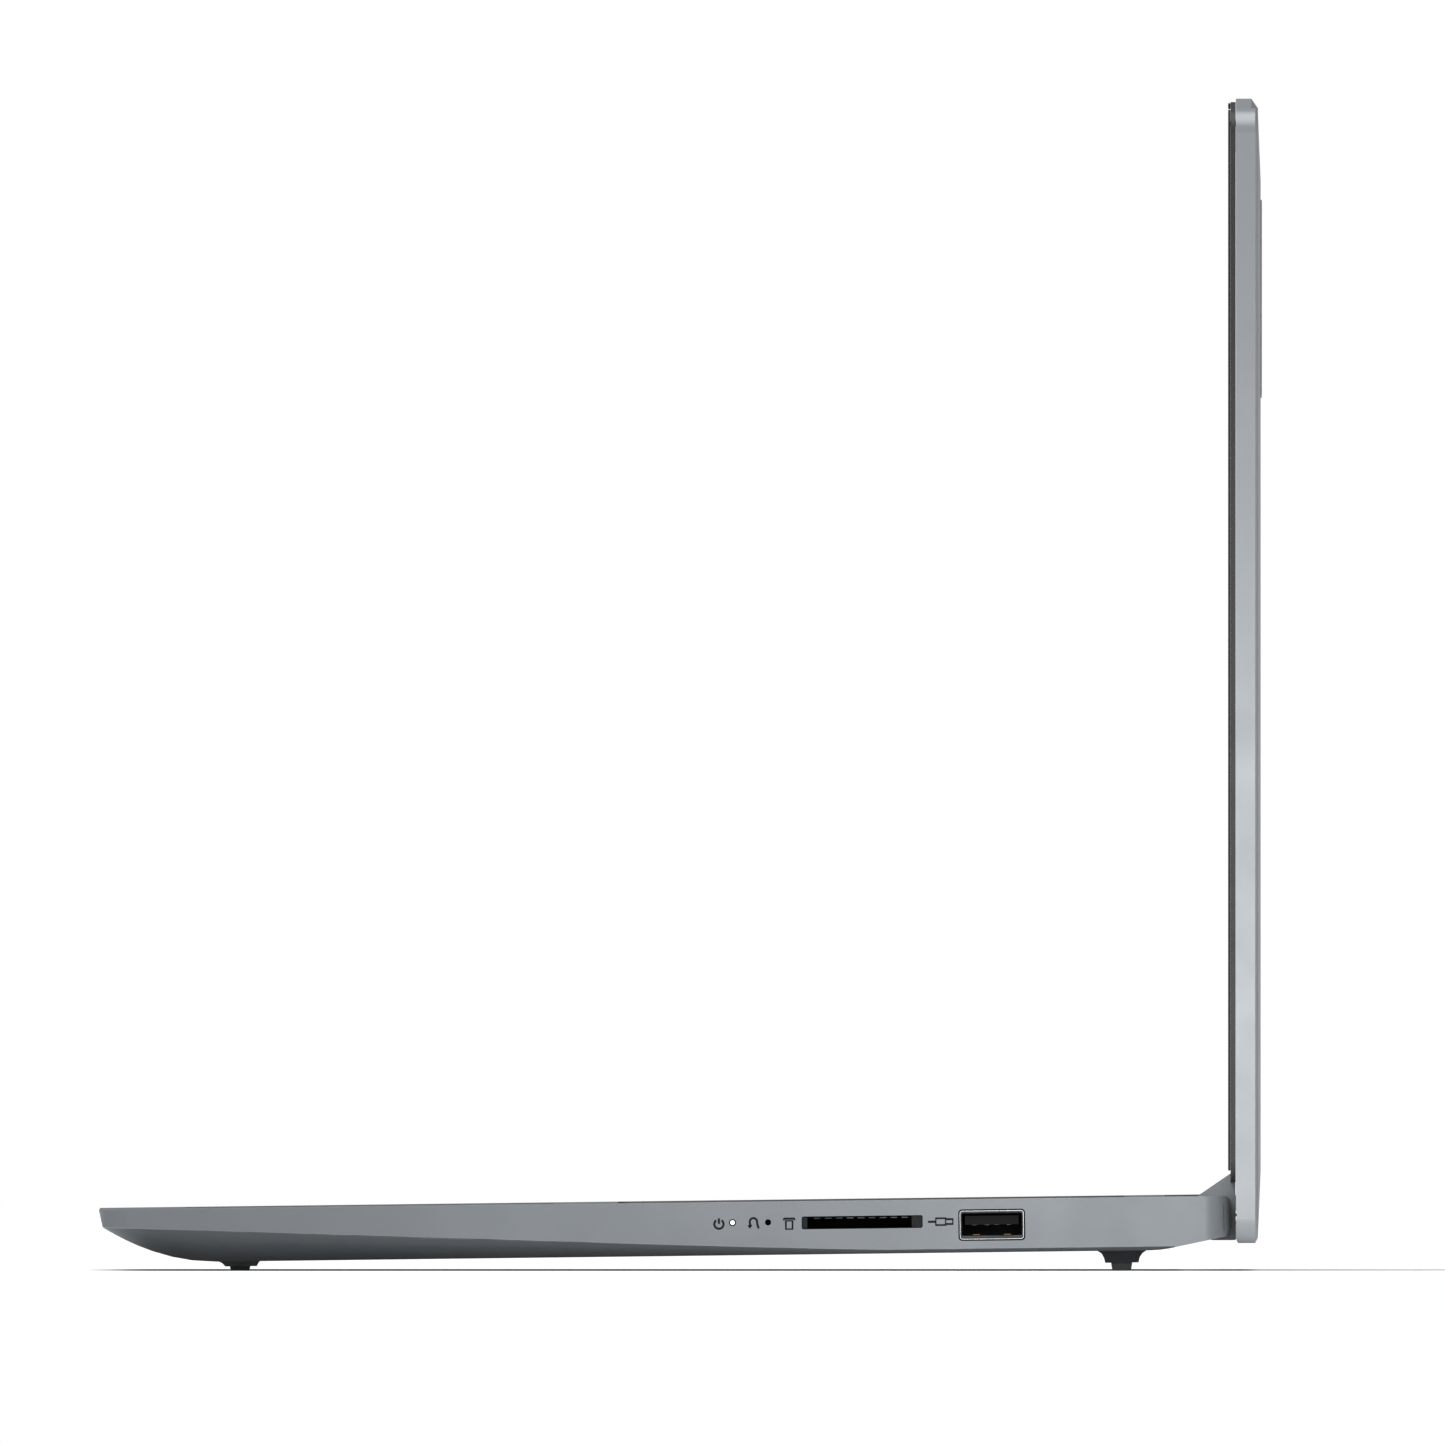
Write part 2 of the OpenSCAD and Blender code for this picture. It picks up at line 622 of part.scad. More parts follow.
module flat_port(y, z, size, r, hole, hole_z, tongue, tongue_z, depth) {
    difference() {
        side_slot(y, z, size, r, half_w - 0.05 - depth, half_w - 0.05);
        side_slot(y, z + hole_z, hole, r * 0.6, half_w - depth + 0.8, half_w + 1);
    }
    side_slot(y, z + tongue_z, tongue, 0.3, half_w - depth + 0.5, half_w - 1.1);
}
module usb_a_port() { flat_port(0, usb_a_z, usb_a_size, 0.6, [12.4, 4.67], 0.12, [11.1, 1.84], 0.9, 13.2); }
module usb_a_port_right() { color(steel) in_base() translate([0, usb_a_y, 0]) usb_a_port(); }
module usb_a_port_left() {
    color(steel) in_base() translate([0, left_usb_y, 0]) mirror([1, 0, 0]) usb_a_port();
}
module hdmi_port() {
    color(steel) in_base() mirror([1, 0, 0])
        flat_port(hdmi_y, hdmi_z, hdmi_size, 0.8, [14, 4.55], 0, [11, 1], 0.3, 12);
}
module usb_c_port() {
    color(steel) in_base() mirror([1, 0, 0])
        flat_port(usb_c_y, usb_c_z, usb_c_size, 1.59, [8.34, 2.56], 0, [6.69, 0.7], 0, 10);
}
module card_reader() {
    color(steel) in_base() difference() {
        block(149, half_w - wall_t - 0.2, 142.5, 171.2, 2.65, 7.86);
        block(151, half_w, 144.8, 168.9, 5.35, 7.65);
    }
}
module status_light() { color("white") in_base() rod_x(174.5, half_w - 0.02, light_y, light_z, light_r); }
module reset_button() {
    color(soft_black) in_base() {
        rod_x(172, 176.6, reset_y, reset_z, 0.8);
        rod_x(174.4, 175.4, reset_y, reset_z, 1.2);
    }
}
module audio_jack() {
    color(soft_black) in_base() mirror([1, 0, 0]) difference() {
        union() {
            rod_x(half_w - 4, half_w - 0.05, jack_y, jack_z, 2.9);
            block(half_w - 14, half_w - wall_t - 0.1, jack_y - 3.3, jack_y + 3.3, 2.4, 8.2);
        }
        rod_x(half_w - 13, half_w + 1, jack_y, jack_z, jack_r);
    }
}
module power_jack() {
    color(soft_black) in_base() mirror([1, 0, 0]) {
        difference() {
            union() {
                rod_x(half_w - 4, half_w - 0.05, power_y, power_z, 3.5);
                block(half_w - 12.5, half_w - wall_t - 0.1, power_y - 4.2, power_y + 4.2, 2, 8.8);
            }
            rod_x(half_w - 10.5, half_w + 1, power_y, power_z, power_r);
        }
        rod_x(half_w - 11, half_w - 1.4, power_y, power_z, 0.5);
    }
}

// Hinges: steel shafts fixed in the base, friction eyes on the lid

module hinge_base_brackets() {
    color(steel) in_base() both_sides() difference() {
        union() {
            rod_x(ear_x, ear_x + ear_t, hinge_y, hinge_z, 2.9);
            block(ear_x, ear_x + ear_t, 212, hinge_y, hinge_z - 0.3, hinge_z + 0.8);
            block(ear_x, 164, 212, 225.2, hinge_z - 0.3, hinge_z + 0.8);
        }
        rod_x(ear_x - 1, ear_x + ear_t + 1, hinge_y, hinge_z, shaft_r + 0.02);
        for (p = hinge_screw_places) rod_z(p[0], p[1], 5, 9, 1.3);
    }
}
module hinge_shafts() {
    color(steel) in_base() both_sides() {
        rod_x(shaft_end_x, ear_x + ear_t + 0.6, hinge_y, hinge_z, shaft_r);
        rod_x(ear_x + ear_t + 0.05, ear_x + ear_t + 1.2, hinge_y, hinge_z, 2.4);
    }
}
module hinge_nuts() {
    color(steel) in_base() both_sides() difference() {
        union() {
            for (i = [0:3]) rod_x(eye_x0 - 0.95 - i * 0.9, eye_x0 - 0.1 - i * 0.9, hinge_y, hinge_z,
                i % 2 == 0 ? 2.7 : 2.4);
            rod_x(eye_x0 - 3.6, eye_x0 - 0.3, hinge_y, hinge_z, 2.1);
            translate([eye_x0 - 5.6, hinge_y, hinge_z]) rotate([0, 90, 0])
                cylinder(h = 2.1, r = 2.8, $fn = 6);
        }
        rod_x(eye_x0 - 7, eye_x0 + 1, hinge_y, hinge_z, shaft_r + 0.02);
    }
}
module hinge_screws() {
    color(steel) in_base() both_sides() for (p = hinge_screw_places) {
        rod_z(p[0], p[1], 5.6, hinge_z - 0.32, 2.1);
        rod_z(p[0], p[1], hinge_z - 0.4, 9.3, 1.2);
    }
}
module display_cable_base() {
    color(soft_black) in_base() {
        rod_x(cable_x - 1, cable_x + 1, hinge_y, hinge_z, 1);
        block(cable_x - cable_w / 2, cable_x + cable_w / 2, 196, hinge_y, hinge_z - 0.5, hinge_z + 0.5);
    }
}

// Lid

function bump_outline(z0, cut = 0) = [[-bump_half - bump_slope, z0], [bump_half + bump_slope, z0],
    [bump_half + bump_slope, lid_top - cut], [bump_half, lid_top + bump_h - cut],
    [-bump_half, lid_top + bump_h - cut], [-bump_half - bump_slope, lid_top - cut]];
function lid_outline(d) = round_box(-half_w + d, lid_bottom + d, half_w - d, lid_top - d, lid_r);

module lid_shell() {
    inner = half_w - wall_t;
    color(lid_grey) on_lid() difference() {
        union() {
            hull() {
                upright(lid_outline(0), shell_y, shell_side_y);
                upright(lid_outline(1.1), shell_side_y, lid_back - 0.55);
                upright(lid_outline(15), shell_side_y, lid_back);
            }
            hull() {
                upright(bump_outline(lid_top - 6), shell_y, shell_side_y - 0.8);
                upright(bump_outline(lid_top - 6, 2), shell_y, lid_back - 0.55);
            }
        }
        upright(round_box(-inner, bezel_wing_z + 0.2, inner, lid_top - wall_t, 3.4),
            shell_y - 1, shell_in_y);
        upright(round_box(-shoulder_x + 0.4, lid_bottom + 1.2, shoulder_x - 0.4, 30, 0.5),
            shell_y - 1, shell_in_y);
        both_sides() rod_x(cover_half, half_w + 1, 0, 0, 6.1);
        along_x([[shell_y - 1, -4.7], [6, -4.7], [6.12, -5.2], [6.4, lid_bottom], [6.4, -7],
            [shell_y - 1, -7]], -half_w - 1, half_w + 1);
        both_sides() for (z = [12, 40]) translate([137, lid_back - 0.5, z]) rotate([90, 0, 0])
            cylinder(h = 3, r = 0.85);
    }
}
module display_bezel() {
    edge = 0.15;
    bump_edge = 0.7;
    color(dark) on_lid() translate([0, bezel_back_y, 0]) rotate([90, 0, 0])
        linear_extrude(bezel_back_y - bezel_y) difference() {
            union() {
                polygon(round_box(-half_w + edge, bezel_wing_z, half_w - edge, lid_top - edge, lid_r));
                polygon(bump_outline(lid_top - 6, bump_edge));
            }
            polygon(round_box(-active_w / 2, active_z, active_w / 2, active_z + active_h, 1));
            polygon([[-cover_half - 0.1, 0], [cover_half + 0.1, 0], [cover_half + 0.1, bezel_mid_z],
                [-cover_half - 0.1, bezel_mid_z]]);
            translate([0, camera_z]) circle(r = 2.2);
            polygon(round_box(-9.4, camera_z + 2.85, 0.4, camera_z + 4.15, 0.6));
        }
}
// A soft rim round the screen that meets the deck when the lid is shut, and a strip on the bump
module screen_gasket() {
    outer = 0.5;
    width = 2;
    r = 4.6;
    side = half_w - outer;
    bend_x = side - r;
    bend_z = lid_top - outer - r;
    color(soft_black) on_lid() {
        upright(concat([[-side, gasket_end_z]], arc(-bend_x, bend_z, r, 180, 90, 6),
            arc(bend_x, bend_z, r, 90, 0, 6), [[side, gasket_end_z], [side - width, gasket_end_z]],
            arc(bend_x, bend_z, r - width, 0, 90, 6), arc(-bend_x, bend_z, r - width, 90, 180, 6),
            [[width - side, gasket_end_z]]), gasket_y, bezel_y - 0.01);
        upright(round_box(-bump_half, lid_top - 0.2, bump_half, lid_top + 1, 0.3),
            gasket_y, bezel_y - 0.01);
    }
}
module display_panel() {
    color(soft_black) on_lid() upright(round_box(-active_w / 2 - 3.2, active_z - 7,
        active_w / 2 + 3.2, active_z + active_h + 2.7, 1), bezel_back_y + 0.05, 8.5);
}
// The long cover that turns with the lid: ramp up to the bezel, round barrel, flat bottom
function ramp_z(y, d) = (barrel_r - d - lean[0] * y) / lean[1];
ramp_angle = 90 + asin(-lean[0]);
cover_path = concat([[bezel_back_y - 0.05, bezel_mid_z - 0.05], [bezel_y, bezel_mid_z - 0.05]],
    arc(0, 0, barrel_r, ramp_angle, 246, 14), [[1, -4.92], [bezel_back_y - 0.05, -4.92],
    [shell_y, -4.65], [shell_y, 4], [bezel_back_y - 0.05, 4]]);
cover_hollow = concat([[shell_y + 0.1, ramp_z(4, 1.2)], [4, ramp_z(4, 1.2)]],
    arc(0, 0, barrel_r - 1.2, ramp_angle, 246, 14), [[1.2, -3.72], [shell_y + 0.1, -3.72]]);
module hinge_cover() {
    cap = 1.2;
    color(lid_grey) on_lid() difference() {
        along_x(cover_path, -cover_half, cover_half);
        along_x(cover_hollow, -cover_half + cap, cover_half - cap);
        rod_x(-cover_half - 1, cover_half + 1, 0, 0, shaft_r + 0.3);
        block(cable_x - 1.1, cable_x + 1.1, -6, 1.8, -6, 8);
    }
}
module hinge_lid_brackets() {
    color(steel) on_lid() both_sides() difference() {
        union() {
            rod_x(eye_x0, eye_x1, 0, 0, 2.7);
            block(eye_x0 + 2, eye_x1 - 2, 0, shell_in_y - 0.02, 1.2, 2.4);
            block(128, eye_x1 - 0.5, 8.7, shell_in_y - 0.02, 1.2, 46);
        }
        rod_x(eye_x0 - 1, eye_x1 + 1, 0, 0, shaft_r + shaft_fit);
        for (z = [12, 40]) translate([137, 10, z]) rotate([90, 0, 0]) cylinder(h = 3, r = 0.9);
    }
}
module lid_screws() {
    color(steel) on_lid() both_sides() for (z = [12, 40]) {
        translate([137, 8.68, z]) rotate([90, 0, 0]) cylinder(h = 0.1, r = 1.7);
        translate([137, lid_back - 0.6, z]) rotate([90, 0, 0]) cylinder(h = lid_back - 0.6 - 8.6, r = 0.82);
    }
}
module camera_module() {
    color(soft_black) on_lid() {
        block(-30, 30, 7, 8.6, camera_z - 2.4, camera_z + 3);
        translate([0, 7.1, camera_z]) rotate([90, 0, 0]) cylinder(h = 0.85, r = 2);
    }
}
module camera_shutter() {
    color(dark) on_lid() {
        block(-9.6, -3.4, bezel_back_y + 0.03, 6.15, camera_z - 2.4, camera_z + 4.7);
        block(-9.2, -6.8, bezel_y - 0.3, bezel_back_y + 0.1, camera_z + 3, camera_z + 4);
    }
}
module lid_badge() {
    color(lid_grey) on_lid()
        upright(round_box(157.5, 168.3, 164, 209, 0.6), lid_back, lid_back + badge_t);
}
module display_cable_lid() {
    x = cable_x + 1.2;
    color(soft_black) on_lid() {
        rod_x(x, x + 9, 0, 0, 1);
        block(x + 5, x + 9, 0, 9.4, -0.3, 0.3);
        block(x + 5, x + 9, 8.7, 9.4, -0.3, 216);
        block(x + 8.9, -20, 8.7, 9.4, 212, 216);
        block(-26, -20, 8.7, 9.4, 215, 222);
    }
}
module antennas() {
    color(gold) on_lid() both_sides() block(60, 110, 7, 7.5, camera_z - 2, camera_z + 3.6);
}

upper_case();
bottom_cover();
keyboard_plate();
system_board();
processor();
heat_spreader();
heat_pipe();
heat_sink_fins();
fan_housing();
fan_rotor();
battery_pack();
solid_state_drive();
memory_module();
wireless_card();
io_board();
io_cable();
card_reader();
usb_a_port_right();
status_light();
reset_button();
usb_a_port_left();
hdmi_port();
usb_c_port();
audio_jack();
power_jack();
speakers();
hinge_base_brackets();
hinge_shafts();
hinge_nuts();
hinge_screws();
front_feet();
rear_foot();
bottom_screws();
board_screws();
touchpad_bracket();
touchpad();
display_cable_base();
power_button();
function_keys();
number_row_keys();
upper_row_keys();
home_row_keys();
lower_row_keys();
bottom_row_keys();
space_bar();
arrow_keys();
numeric_pad_keys();
lid_shell();
display_bezel();
screen_gasket();
display_panel();
hinge_cover();
hinge_lid_brackets();
lid_screws();
camera_module();
camera_shutter();
lid_badge();
display_cable_lid();
antennas();
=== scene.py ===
"""Looks for the slim notebook computer: materials, rounded skins, key caps, sockets, icons, light."""
import json
import math

import bmesh
import bpy
from mathutils import Matrix, Vector


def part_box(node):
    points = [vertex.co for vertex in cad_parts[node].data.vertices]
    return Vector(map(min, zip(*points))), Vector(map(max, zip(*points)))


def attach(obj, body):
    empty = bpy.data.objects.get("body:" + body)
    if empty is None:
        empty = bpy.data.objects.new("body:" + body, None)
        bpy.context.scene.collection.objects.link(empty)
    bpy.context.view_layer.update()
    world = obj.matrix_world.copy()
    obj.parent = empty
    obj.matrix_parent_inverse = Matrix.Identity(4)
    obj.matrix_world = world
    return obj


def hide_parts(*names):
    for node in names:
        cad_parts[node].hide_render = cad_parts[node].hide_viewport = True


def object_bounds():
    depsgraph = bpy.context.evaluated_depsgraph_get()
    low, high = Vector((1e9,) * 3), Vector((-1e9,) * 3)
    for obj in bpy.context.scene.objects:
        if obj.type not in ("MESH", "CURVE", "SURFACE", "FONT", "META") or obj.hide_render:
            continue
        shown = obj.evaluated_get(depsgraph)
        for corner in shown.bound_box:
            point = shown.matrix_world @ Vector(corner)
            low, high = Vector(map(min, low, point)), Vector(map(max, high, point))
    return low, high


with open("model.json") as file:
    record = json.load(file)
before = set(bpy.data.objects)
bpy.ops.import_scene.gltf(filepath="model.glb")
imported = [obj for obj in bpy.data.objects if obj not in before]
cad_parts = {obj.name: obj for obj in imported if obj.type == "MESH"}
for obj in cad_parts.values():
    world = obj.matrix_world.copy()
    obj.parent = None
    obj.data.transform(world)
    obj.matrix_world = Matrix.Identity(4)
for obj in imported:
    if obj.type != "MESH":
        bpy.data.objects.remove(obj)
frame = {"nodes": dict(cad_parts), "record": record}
cad_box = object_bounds()
record = frame["record"]

# ---------------------------------------------------------------- places

MM = 0.001
WELD = 2e-6                             # corners closer than this are one corner, m
FAN_PLACE = Vector((70, 162, 4))        # the fan joint's point in the base's own frame, mm


def joint(name):
    return next(j for j in record["behaviour"]["joints"] if j["name"] == name)


def base_frame():
    """Base frame in mm: x across, y from the front edge, z from the flat underside."""
    up = Vector(joint("fan_spin")["axis"])
    turn = Matrix.Rotation(math.atan2(-up.y, up.z), 4, "X") @ Matrix.Scale(MM, 4)
    origin = Vector(joint("fan_spin")["pos_m"]) - turn @ FAN_PLACE
    return Matrix.Translation(origin) @ turn


BASE = base_frame()
BODY_OF = {n: b for b, nodes in record["behaviour"]["bodies"].items() for n in nodes}


def box_of(points):
    """The low and high corners of the box round some points."""
    low = Vector([min(p[i] for p in points) for i in range(3)])
    high = Vector([max(p[i] for p in points) for i in range(3)])
    return low, high


def local_box(node, place):
    """A node's box in mm, measured in the frame that place describes."""
    inverse = place.inverted()
    return box_of([inverse @ v.co for v in frame["nodes"][node].data.vertices])


def solid_boxes(node, place):
    """The box of each separate solid of a node, in mm of the same frame."""
    inverse = place.inverted()
    bm = bmesh.new()
    bm.from_mesh(frame["nodes"][node].data)
    bmesh.ops.remove_doubles(bm, verts=bm.verts, dist=WELD)
    seen = set()
    boxes = []
    for start in bm.verts:
        if start in seen:
            continue
        seen.add(start)
        stack = [start]
        island = []
        while stack:
            v = stack.pop()
            island.append(inverse @ v.co)
            for edge in v.link_edges:
                other = edge.other_vert(v)
                if other not in seen:
                    seen.add(other)
                    stack.append(other)
        boxes.append(box_of(island))
    bm.free()
    return boxes


HALF = local_box("upper_case", BASE)[1].x       # half of the case's width

# ---------------------------------------------------------------- materials


class Nodes:
    """A small helper that builds one node tree."""

    def __init__(self, name):
        self.material = bpy.data.materials.new(name)
        self.material.use_nodes = True
        self.tree = self.material.node_tree
        self.shader = self.tree.nodes["Principled BSDF"]
        self.place = self.add("ShaderNodeTexCoord").outputs["Object"]

    def add(self, kind, **settings):
        node = self.tree.nodes.new(kind)
        for key, value in settings.items():
            if key in node.inputs:
                node.inputs[key].default_value = value
            else:
                setattr(node, key, value)
        return node

    def link(self, a, b):
        self.tree.links.new(a, b)

    def noise(self, scale, detail=3.0, stretch=None):
        texture = self.add("ShaderNodeTexNoise", Scale=scale, Detail=detail)
        source = self.place
        if stretch:
            mapping = self.add("ShaderNodeMapping")
            mapping.inputs["Scale"].default_value = stretch
            self.link(self.place, mapping.inputs["Vector"])
            source = mapping.outputs["Vector"]
        self.link(source, texture.inputs["Vector"])
        return texture.outputs["Fac"]

    def ramp(self, value, low, high):
        """The middle of a noise's range, spread over low to high."""
        spread = self.add("ShaderNodeMapRange")
        spread.inputs["From Min"].default_value = 0.3
        spread.inputs["From Max"].default_value = 0.7
        spread.inputs["To Min"].default_value = low
        spread.inputs["To Max"].default_value = high
        self.link(value, spread.inputs["Value"])
        return spread.outputs["Result"]

    def bump(self, height, strength, depth_mm, below=None):
        bump = self.add("ShaderNodeBump", Strength=strength, Distance=depth_mm * MM)
        self.link(height, bump.inputs["Height"])
        if below:
            self.link(below, bump.inputs["Normal"])
        return bump.outputs["Normal"]

    def mix(self, factor, a, b):
        mix = self.add("ShaderNodeMix", data_type="RGBA")
        mix.inputs[6].default_value = (*a, 1) if not hasattr(a, "node") else (0, 0, 0, 1)
        mix.inputs[7].default_value = (*b, 1)
        if hasattr(a, "node"):
            self.link(a, mix.inputs[6])
        self.link(factor, mix.inputs[0])
        return mix.outputs[2]

    def edges(self, radius_mm):
        """1 on a rounded edge, 0 on a flat: where edges get painted highlight and wear."""
        bevel = self.add("ShaderNodeBevel", samples=4, Radius=radius_mm * MM)
        geometry = self.add("ShaderNodeNewGeometry")
        dot = self.add("ShaderNodeVectorMath", operation="DOT_PRODUCT")
        self.link(bevel.outputs["Normal"], dot.inputs[0])
        self.link(geometry.outputs["Normal"], dot.inputs[1])
        spread = self.add("ShaderNodeMapRange")
        spread.inputs["From Min"].default_value = 1.0
        spread.inputs["From Max"].default_value = 0.8
        self.link(dot.outputs["Value"], spread.inputs["Value"])
        return spread.outputs["Result"]


def surface(name, colour, rough=0.45, metal=0.0, grain=900, depth=0.02, vary=0.06, wear_and_sheen=0.0,
            wear_and_sheen_colour=(0.75, 0.76, 0.78), brushed=None, coat=0.0, patch=14, shine=0.5):
    """Paint, metal, plastic or rubber with fine grain, patchy colour and roughness, and edges lightened in
    patches: painted highlight and wear.
    """
    n = Nodes(name)
    patches = n.noise(patch, 4.0)
    dark = tuple(c * (1 - vary) for c in colour)
    light = tuple(min(1.0, c * (1 + vary)) for c in colour)
    base = n.mix(n.ramp(patches, 0.0, 1.0), dark, light)
    # Edges lightened in noisy patches: painted highlight along the edges, and wear
    if wear_and_sheen:
        factor = n.add("ShaderNodeMath", operation="MULTIPLY")
        n.link(n.edges(0.25), factor.inputs[0])
        n.link(n.ramp(n.noise(160, 3.0), 0.0, wear_and_sheen), factor.inputs[1])
        base = n.mix(factor.outputs[0], base, wear_and_sheen_colour)
    n.link(base, n.shader.inputs["Base Color"])
    n.shader.inputs["Metallic"].default_value = metal
    n.link(n.ramp(n.noise(patch * 5, 3.0), rough - 0.05, rough + 0.05), n.shader.inputs["Roughness"])
    n.shader.inputs["Coat Weight"].default_value = coat
    n.shader.inputs["Specular IOR Level"].default_value = shine
    normal = n.bump(n.noise(grain, 2.0), 0.35, depth)
    if brushed:
        normal = n.bump(n.noise(700, 2.0, stretch=brushed), 0.4, depth * 2, normal)
    n.link(normal, n.shader.inputs["Normal"])
    return n.material


ALONG_X = (0.02, 1, 1)                  # stretches a noise into brush lines across the width

# Each: name, colour, roughness, metal share, grain fineness, grain depth in mm, uneven colour,
# edge lightening for painted highlight and wear, and the colour the lightened edges take
CASE = surface("case_paint", (0.170, 0.185, 0.198), 0.42, 0.25, 2600, 0.012, 0.012, 0.25)
LID_PAINT = surface("lid_paint", (0.285, 0.302, 0.320), 0.40, 0.25, 2600, 0.012, 0.03, 0.2)
COVER = surface("cover_paint", (0.092, 0.102, 0.112), 0.5, 0.2, 2400, 0.012, 0.05, 0.25)
BEZEL = surface("bezel_plastic", (0.022, 0.022, 0.023), 0.55, 0.0, 1500, 0.03, 0.12)
GASKET = surface("gasket_rubber", (0.02, 0.02, 0.02), 0.8, 0.0, 900, 0.03, 0.2)
RUBBER = surface("foot_rubber", (0.085, 0.09, 0.096), 0.85, 0.0, 800, 0.05, 0.25)
# The same rubber as the front feet, painted nearly three times lighter: painted light on the rear foot
REAR_RUBBER_PAINTED_LIGHT = surface("rear_foot_lit_rubber", (0.25, 0.265, 0.28), 0.85, 0.0, 800, 0.05, 0.15)
KEYS = surface("key_plastic", (0.045, 0.047, 0.05), 0.52, 0.0, 1800, 0.02, 0.1, 0.15, (0.16, 0.16, 0.17))
LEGEND = surface("legend_ink", (0.75, 0.76, 0.76), 0.6, 0.0, 900, 0.01, 0.05)
INK = surface("icon_ink", (0.014, 0.016, 0.02), 0.8, 0.0, 900, 0.01, 0.2, shine=0.05)
PAD = surface("touchpad_film", (0.26, 0.28, 0.30), 0.33, 0.0, 3000, 0.006, 0.03, 0.2)
STEEL = surface("port_steel", (0.42, 0.43, 0.44), 0.30, 1.0, 500, 0.01, 0.06, brushed=ALONG_X)
# Steel painted near black: painted shade inside the sockets, with its edges lightened toward bright steel
SHADED_SOCKET_STEEL = surface("shaded_socket_steel", (0.035, 0.037, 0.04), 0.4, 1.0, 500, 0.01, 0.06, 0.35,
                       (0.72, 0.73, 0.74), brushed=ALONG_X)
HINGE_STEEL = surface("hinge_steel", (0.45, 0.46, 0.48), 0.35, 1.0, 500, 0.02, 0.1, brushed=(1, 0.05, 0.05))
SCREW = surface("screw_steel", (0.09, 0.09, 0.1), 0.4, 0.9, 700, 0.02, 0.15, 0.4)
STAMPED = surface("plate_steel", (0.42, 0.43, 0.44), 0.4, 1.0, 400, 0.02, 0.1, brushed=ALONG_X)
BOARD = surface("board_laminate", (0.012, 0.07, 0.04), 0.4, 0.0, 300, 0.04, 0.3, coat=0.3, patch=120)
CHIP = surface("chip_resin", (0.02, 0.02, 0.022), 0.6, 0.0, 1500, 0.03, 0.15)
COPPER = surface("bare_copper", (0.62, 0.30, 0.17), 0.32, 1.0, 600, 0.02, 0.15, brushed=ALONG_X)
PLASTIC = surface("moulded_plastic", (0.025, 0.025, 0.027), 0.45, 0.0, 1200, 0.02, 0.15)
TONGUE = surface("tongue_plastic", (0.012, 0.012, 0.013), 0.7, 0.0, 1200, 0.02, 0.2, shine=0.08)
BLOCK = surface("guide_plastic", (0.012, 0.013, 0.014), 0.6, 0.0, 1200, 0.02, 0.15, shine=0.2)
WRAP = surface("battery_wrap", (0.03, 0.03, 0.034), 0.5, 0.0, 200, 0.06, 0.2)
# Gold painted far darker than its own colour: painted shade on contacts deep inside the sockets
SHADED_GOLD = surface("shaded_contact_gold", (0.17, 0.11, 0.05), 0.5, 1.0, 600, 0.01, 0.1)
FOIL = surface("aerial_foil", (0.75, 0.60, 0.30), 0.35, 1.0, 400, 0.02, 0.15)
CABLE = surface("cable_sheath", (0.02, 0.02, 0.022), 0.55, 0.0, 500, 0.03, 0.2)


def screen_material():
    """A dark screen with a matt film: near-black glass with uneven haze and fine grain."""
    n = Nodes("screen_film")
    glass = n.mix(n.noise(6, 2.0), (0.004, 0.005, 0.007), (0.008, 0.009, 0.012))
    n.link(glass, n.shader.inputs["Base Color"])
    n.link(n.ramp(n.noise(40, 2.0), 0.36, 0.42), n.shader.inputs["Roughness"])
    n.shader.inputs["Specular IOR Level"].default_value = 0.25
    n.link(n.bump(n.noise(4000, 1.0), 0.1, 0.003), n.shader.inputs["Normal"])
    return n.material


def light_material():
    """The lit end of a milky light pipe."""
    n = Nodes("status_glow")
    n.link(n.mix(n.noise(900, 1.0), (0.9, 0.92, 0.95), (1, 1, 1)), n.shader.inputs["Base Color"])
    n.link(n.mix(n.noise(900, 1.0), (0.93, 0.95, 1.0), (1, 1, 1)), n.shader.inputs["Emission Color"])
    n.shader.inputs["Emission Strength"].default_value = 1.1
    return n.material


def badge_material():
    """Thin-film metal: pink at the top of the plate, sand in its middle, green at its foot."""
    n = Nodes("badge_film")
    low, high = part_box("lid_badge")
    split = n.add("ShaderNodeSeparateXYZ")
    n.link(n.place, split.inputs[0])
    height = n.add("ShaderNodeMapRange")
    height.inputs["From Min"].default_value = low[2]
    height.inputs["From Max"].default_value = high[2]
    n.link(split.outputs["Z"], height.inputs["Value"])
    ramp = n.add("ShaderNodeValToRGB")
    ramp.color_ramp.elements[0].color = (0.22, 0.34, 0.27, 1)
    ramp.color_ramp.elements[1].color = (0.38, 0.21, 0.25, 1)
    middle = ramp.color_ramp.elements.new(0.5)
    middle.color = (0.34, 0.31, 0.24, 1)
    n.link(height.outputs["Result"], ramp.inputs["Fac"])
    n.link(ramp.outputs["Color"], n.shader.inputs["Base Color"])
    n.shader.inputs["Metallic"].default_value = 0.7
    n.link(n.ramp(n.noise(90, 3.0), 0.22, 0.34), n.shader.inputs["Roughness"])
    n.link(n.bump(n.noise(1500, 2.0, stretch=(1, 1, 0.03)), 0.3, 0.01), n.shader.inputs["Normal"])
    return n.material


SCREEN = screen_material()
GLOW = light_material()
BADGE = badge_material()

# ---------------------------------------------------------------- mesh building


def make(name, parts, place, body, material, stands_for=(), smooth=35):
    """One piece from parts, each (points, faces) in the mm of its frame."""
    points = []
    faces = []
    for part_points, part_faces in parts:
        shift = len(points)
        points += [place @ Vector(p) for p in part_points]
        faces += [[shift + i for i in face] for face in part_faces]
    mesh = bpy.data.meshes.new(name)
    mesh.from_pydata(points, [], faces)
    return finish_piece(name, mesh, body, material, stands_for, smooth)


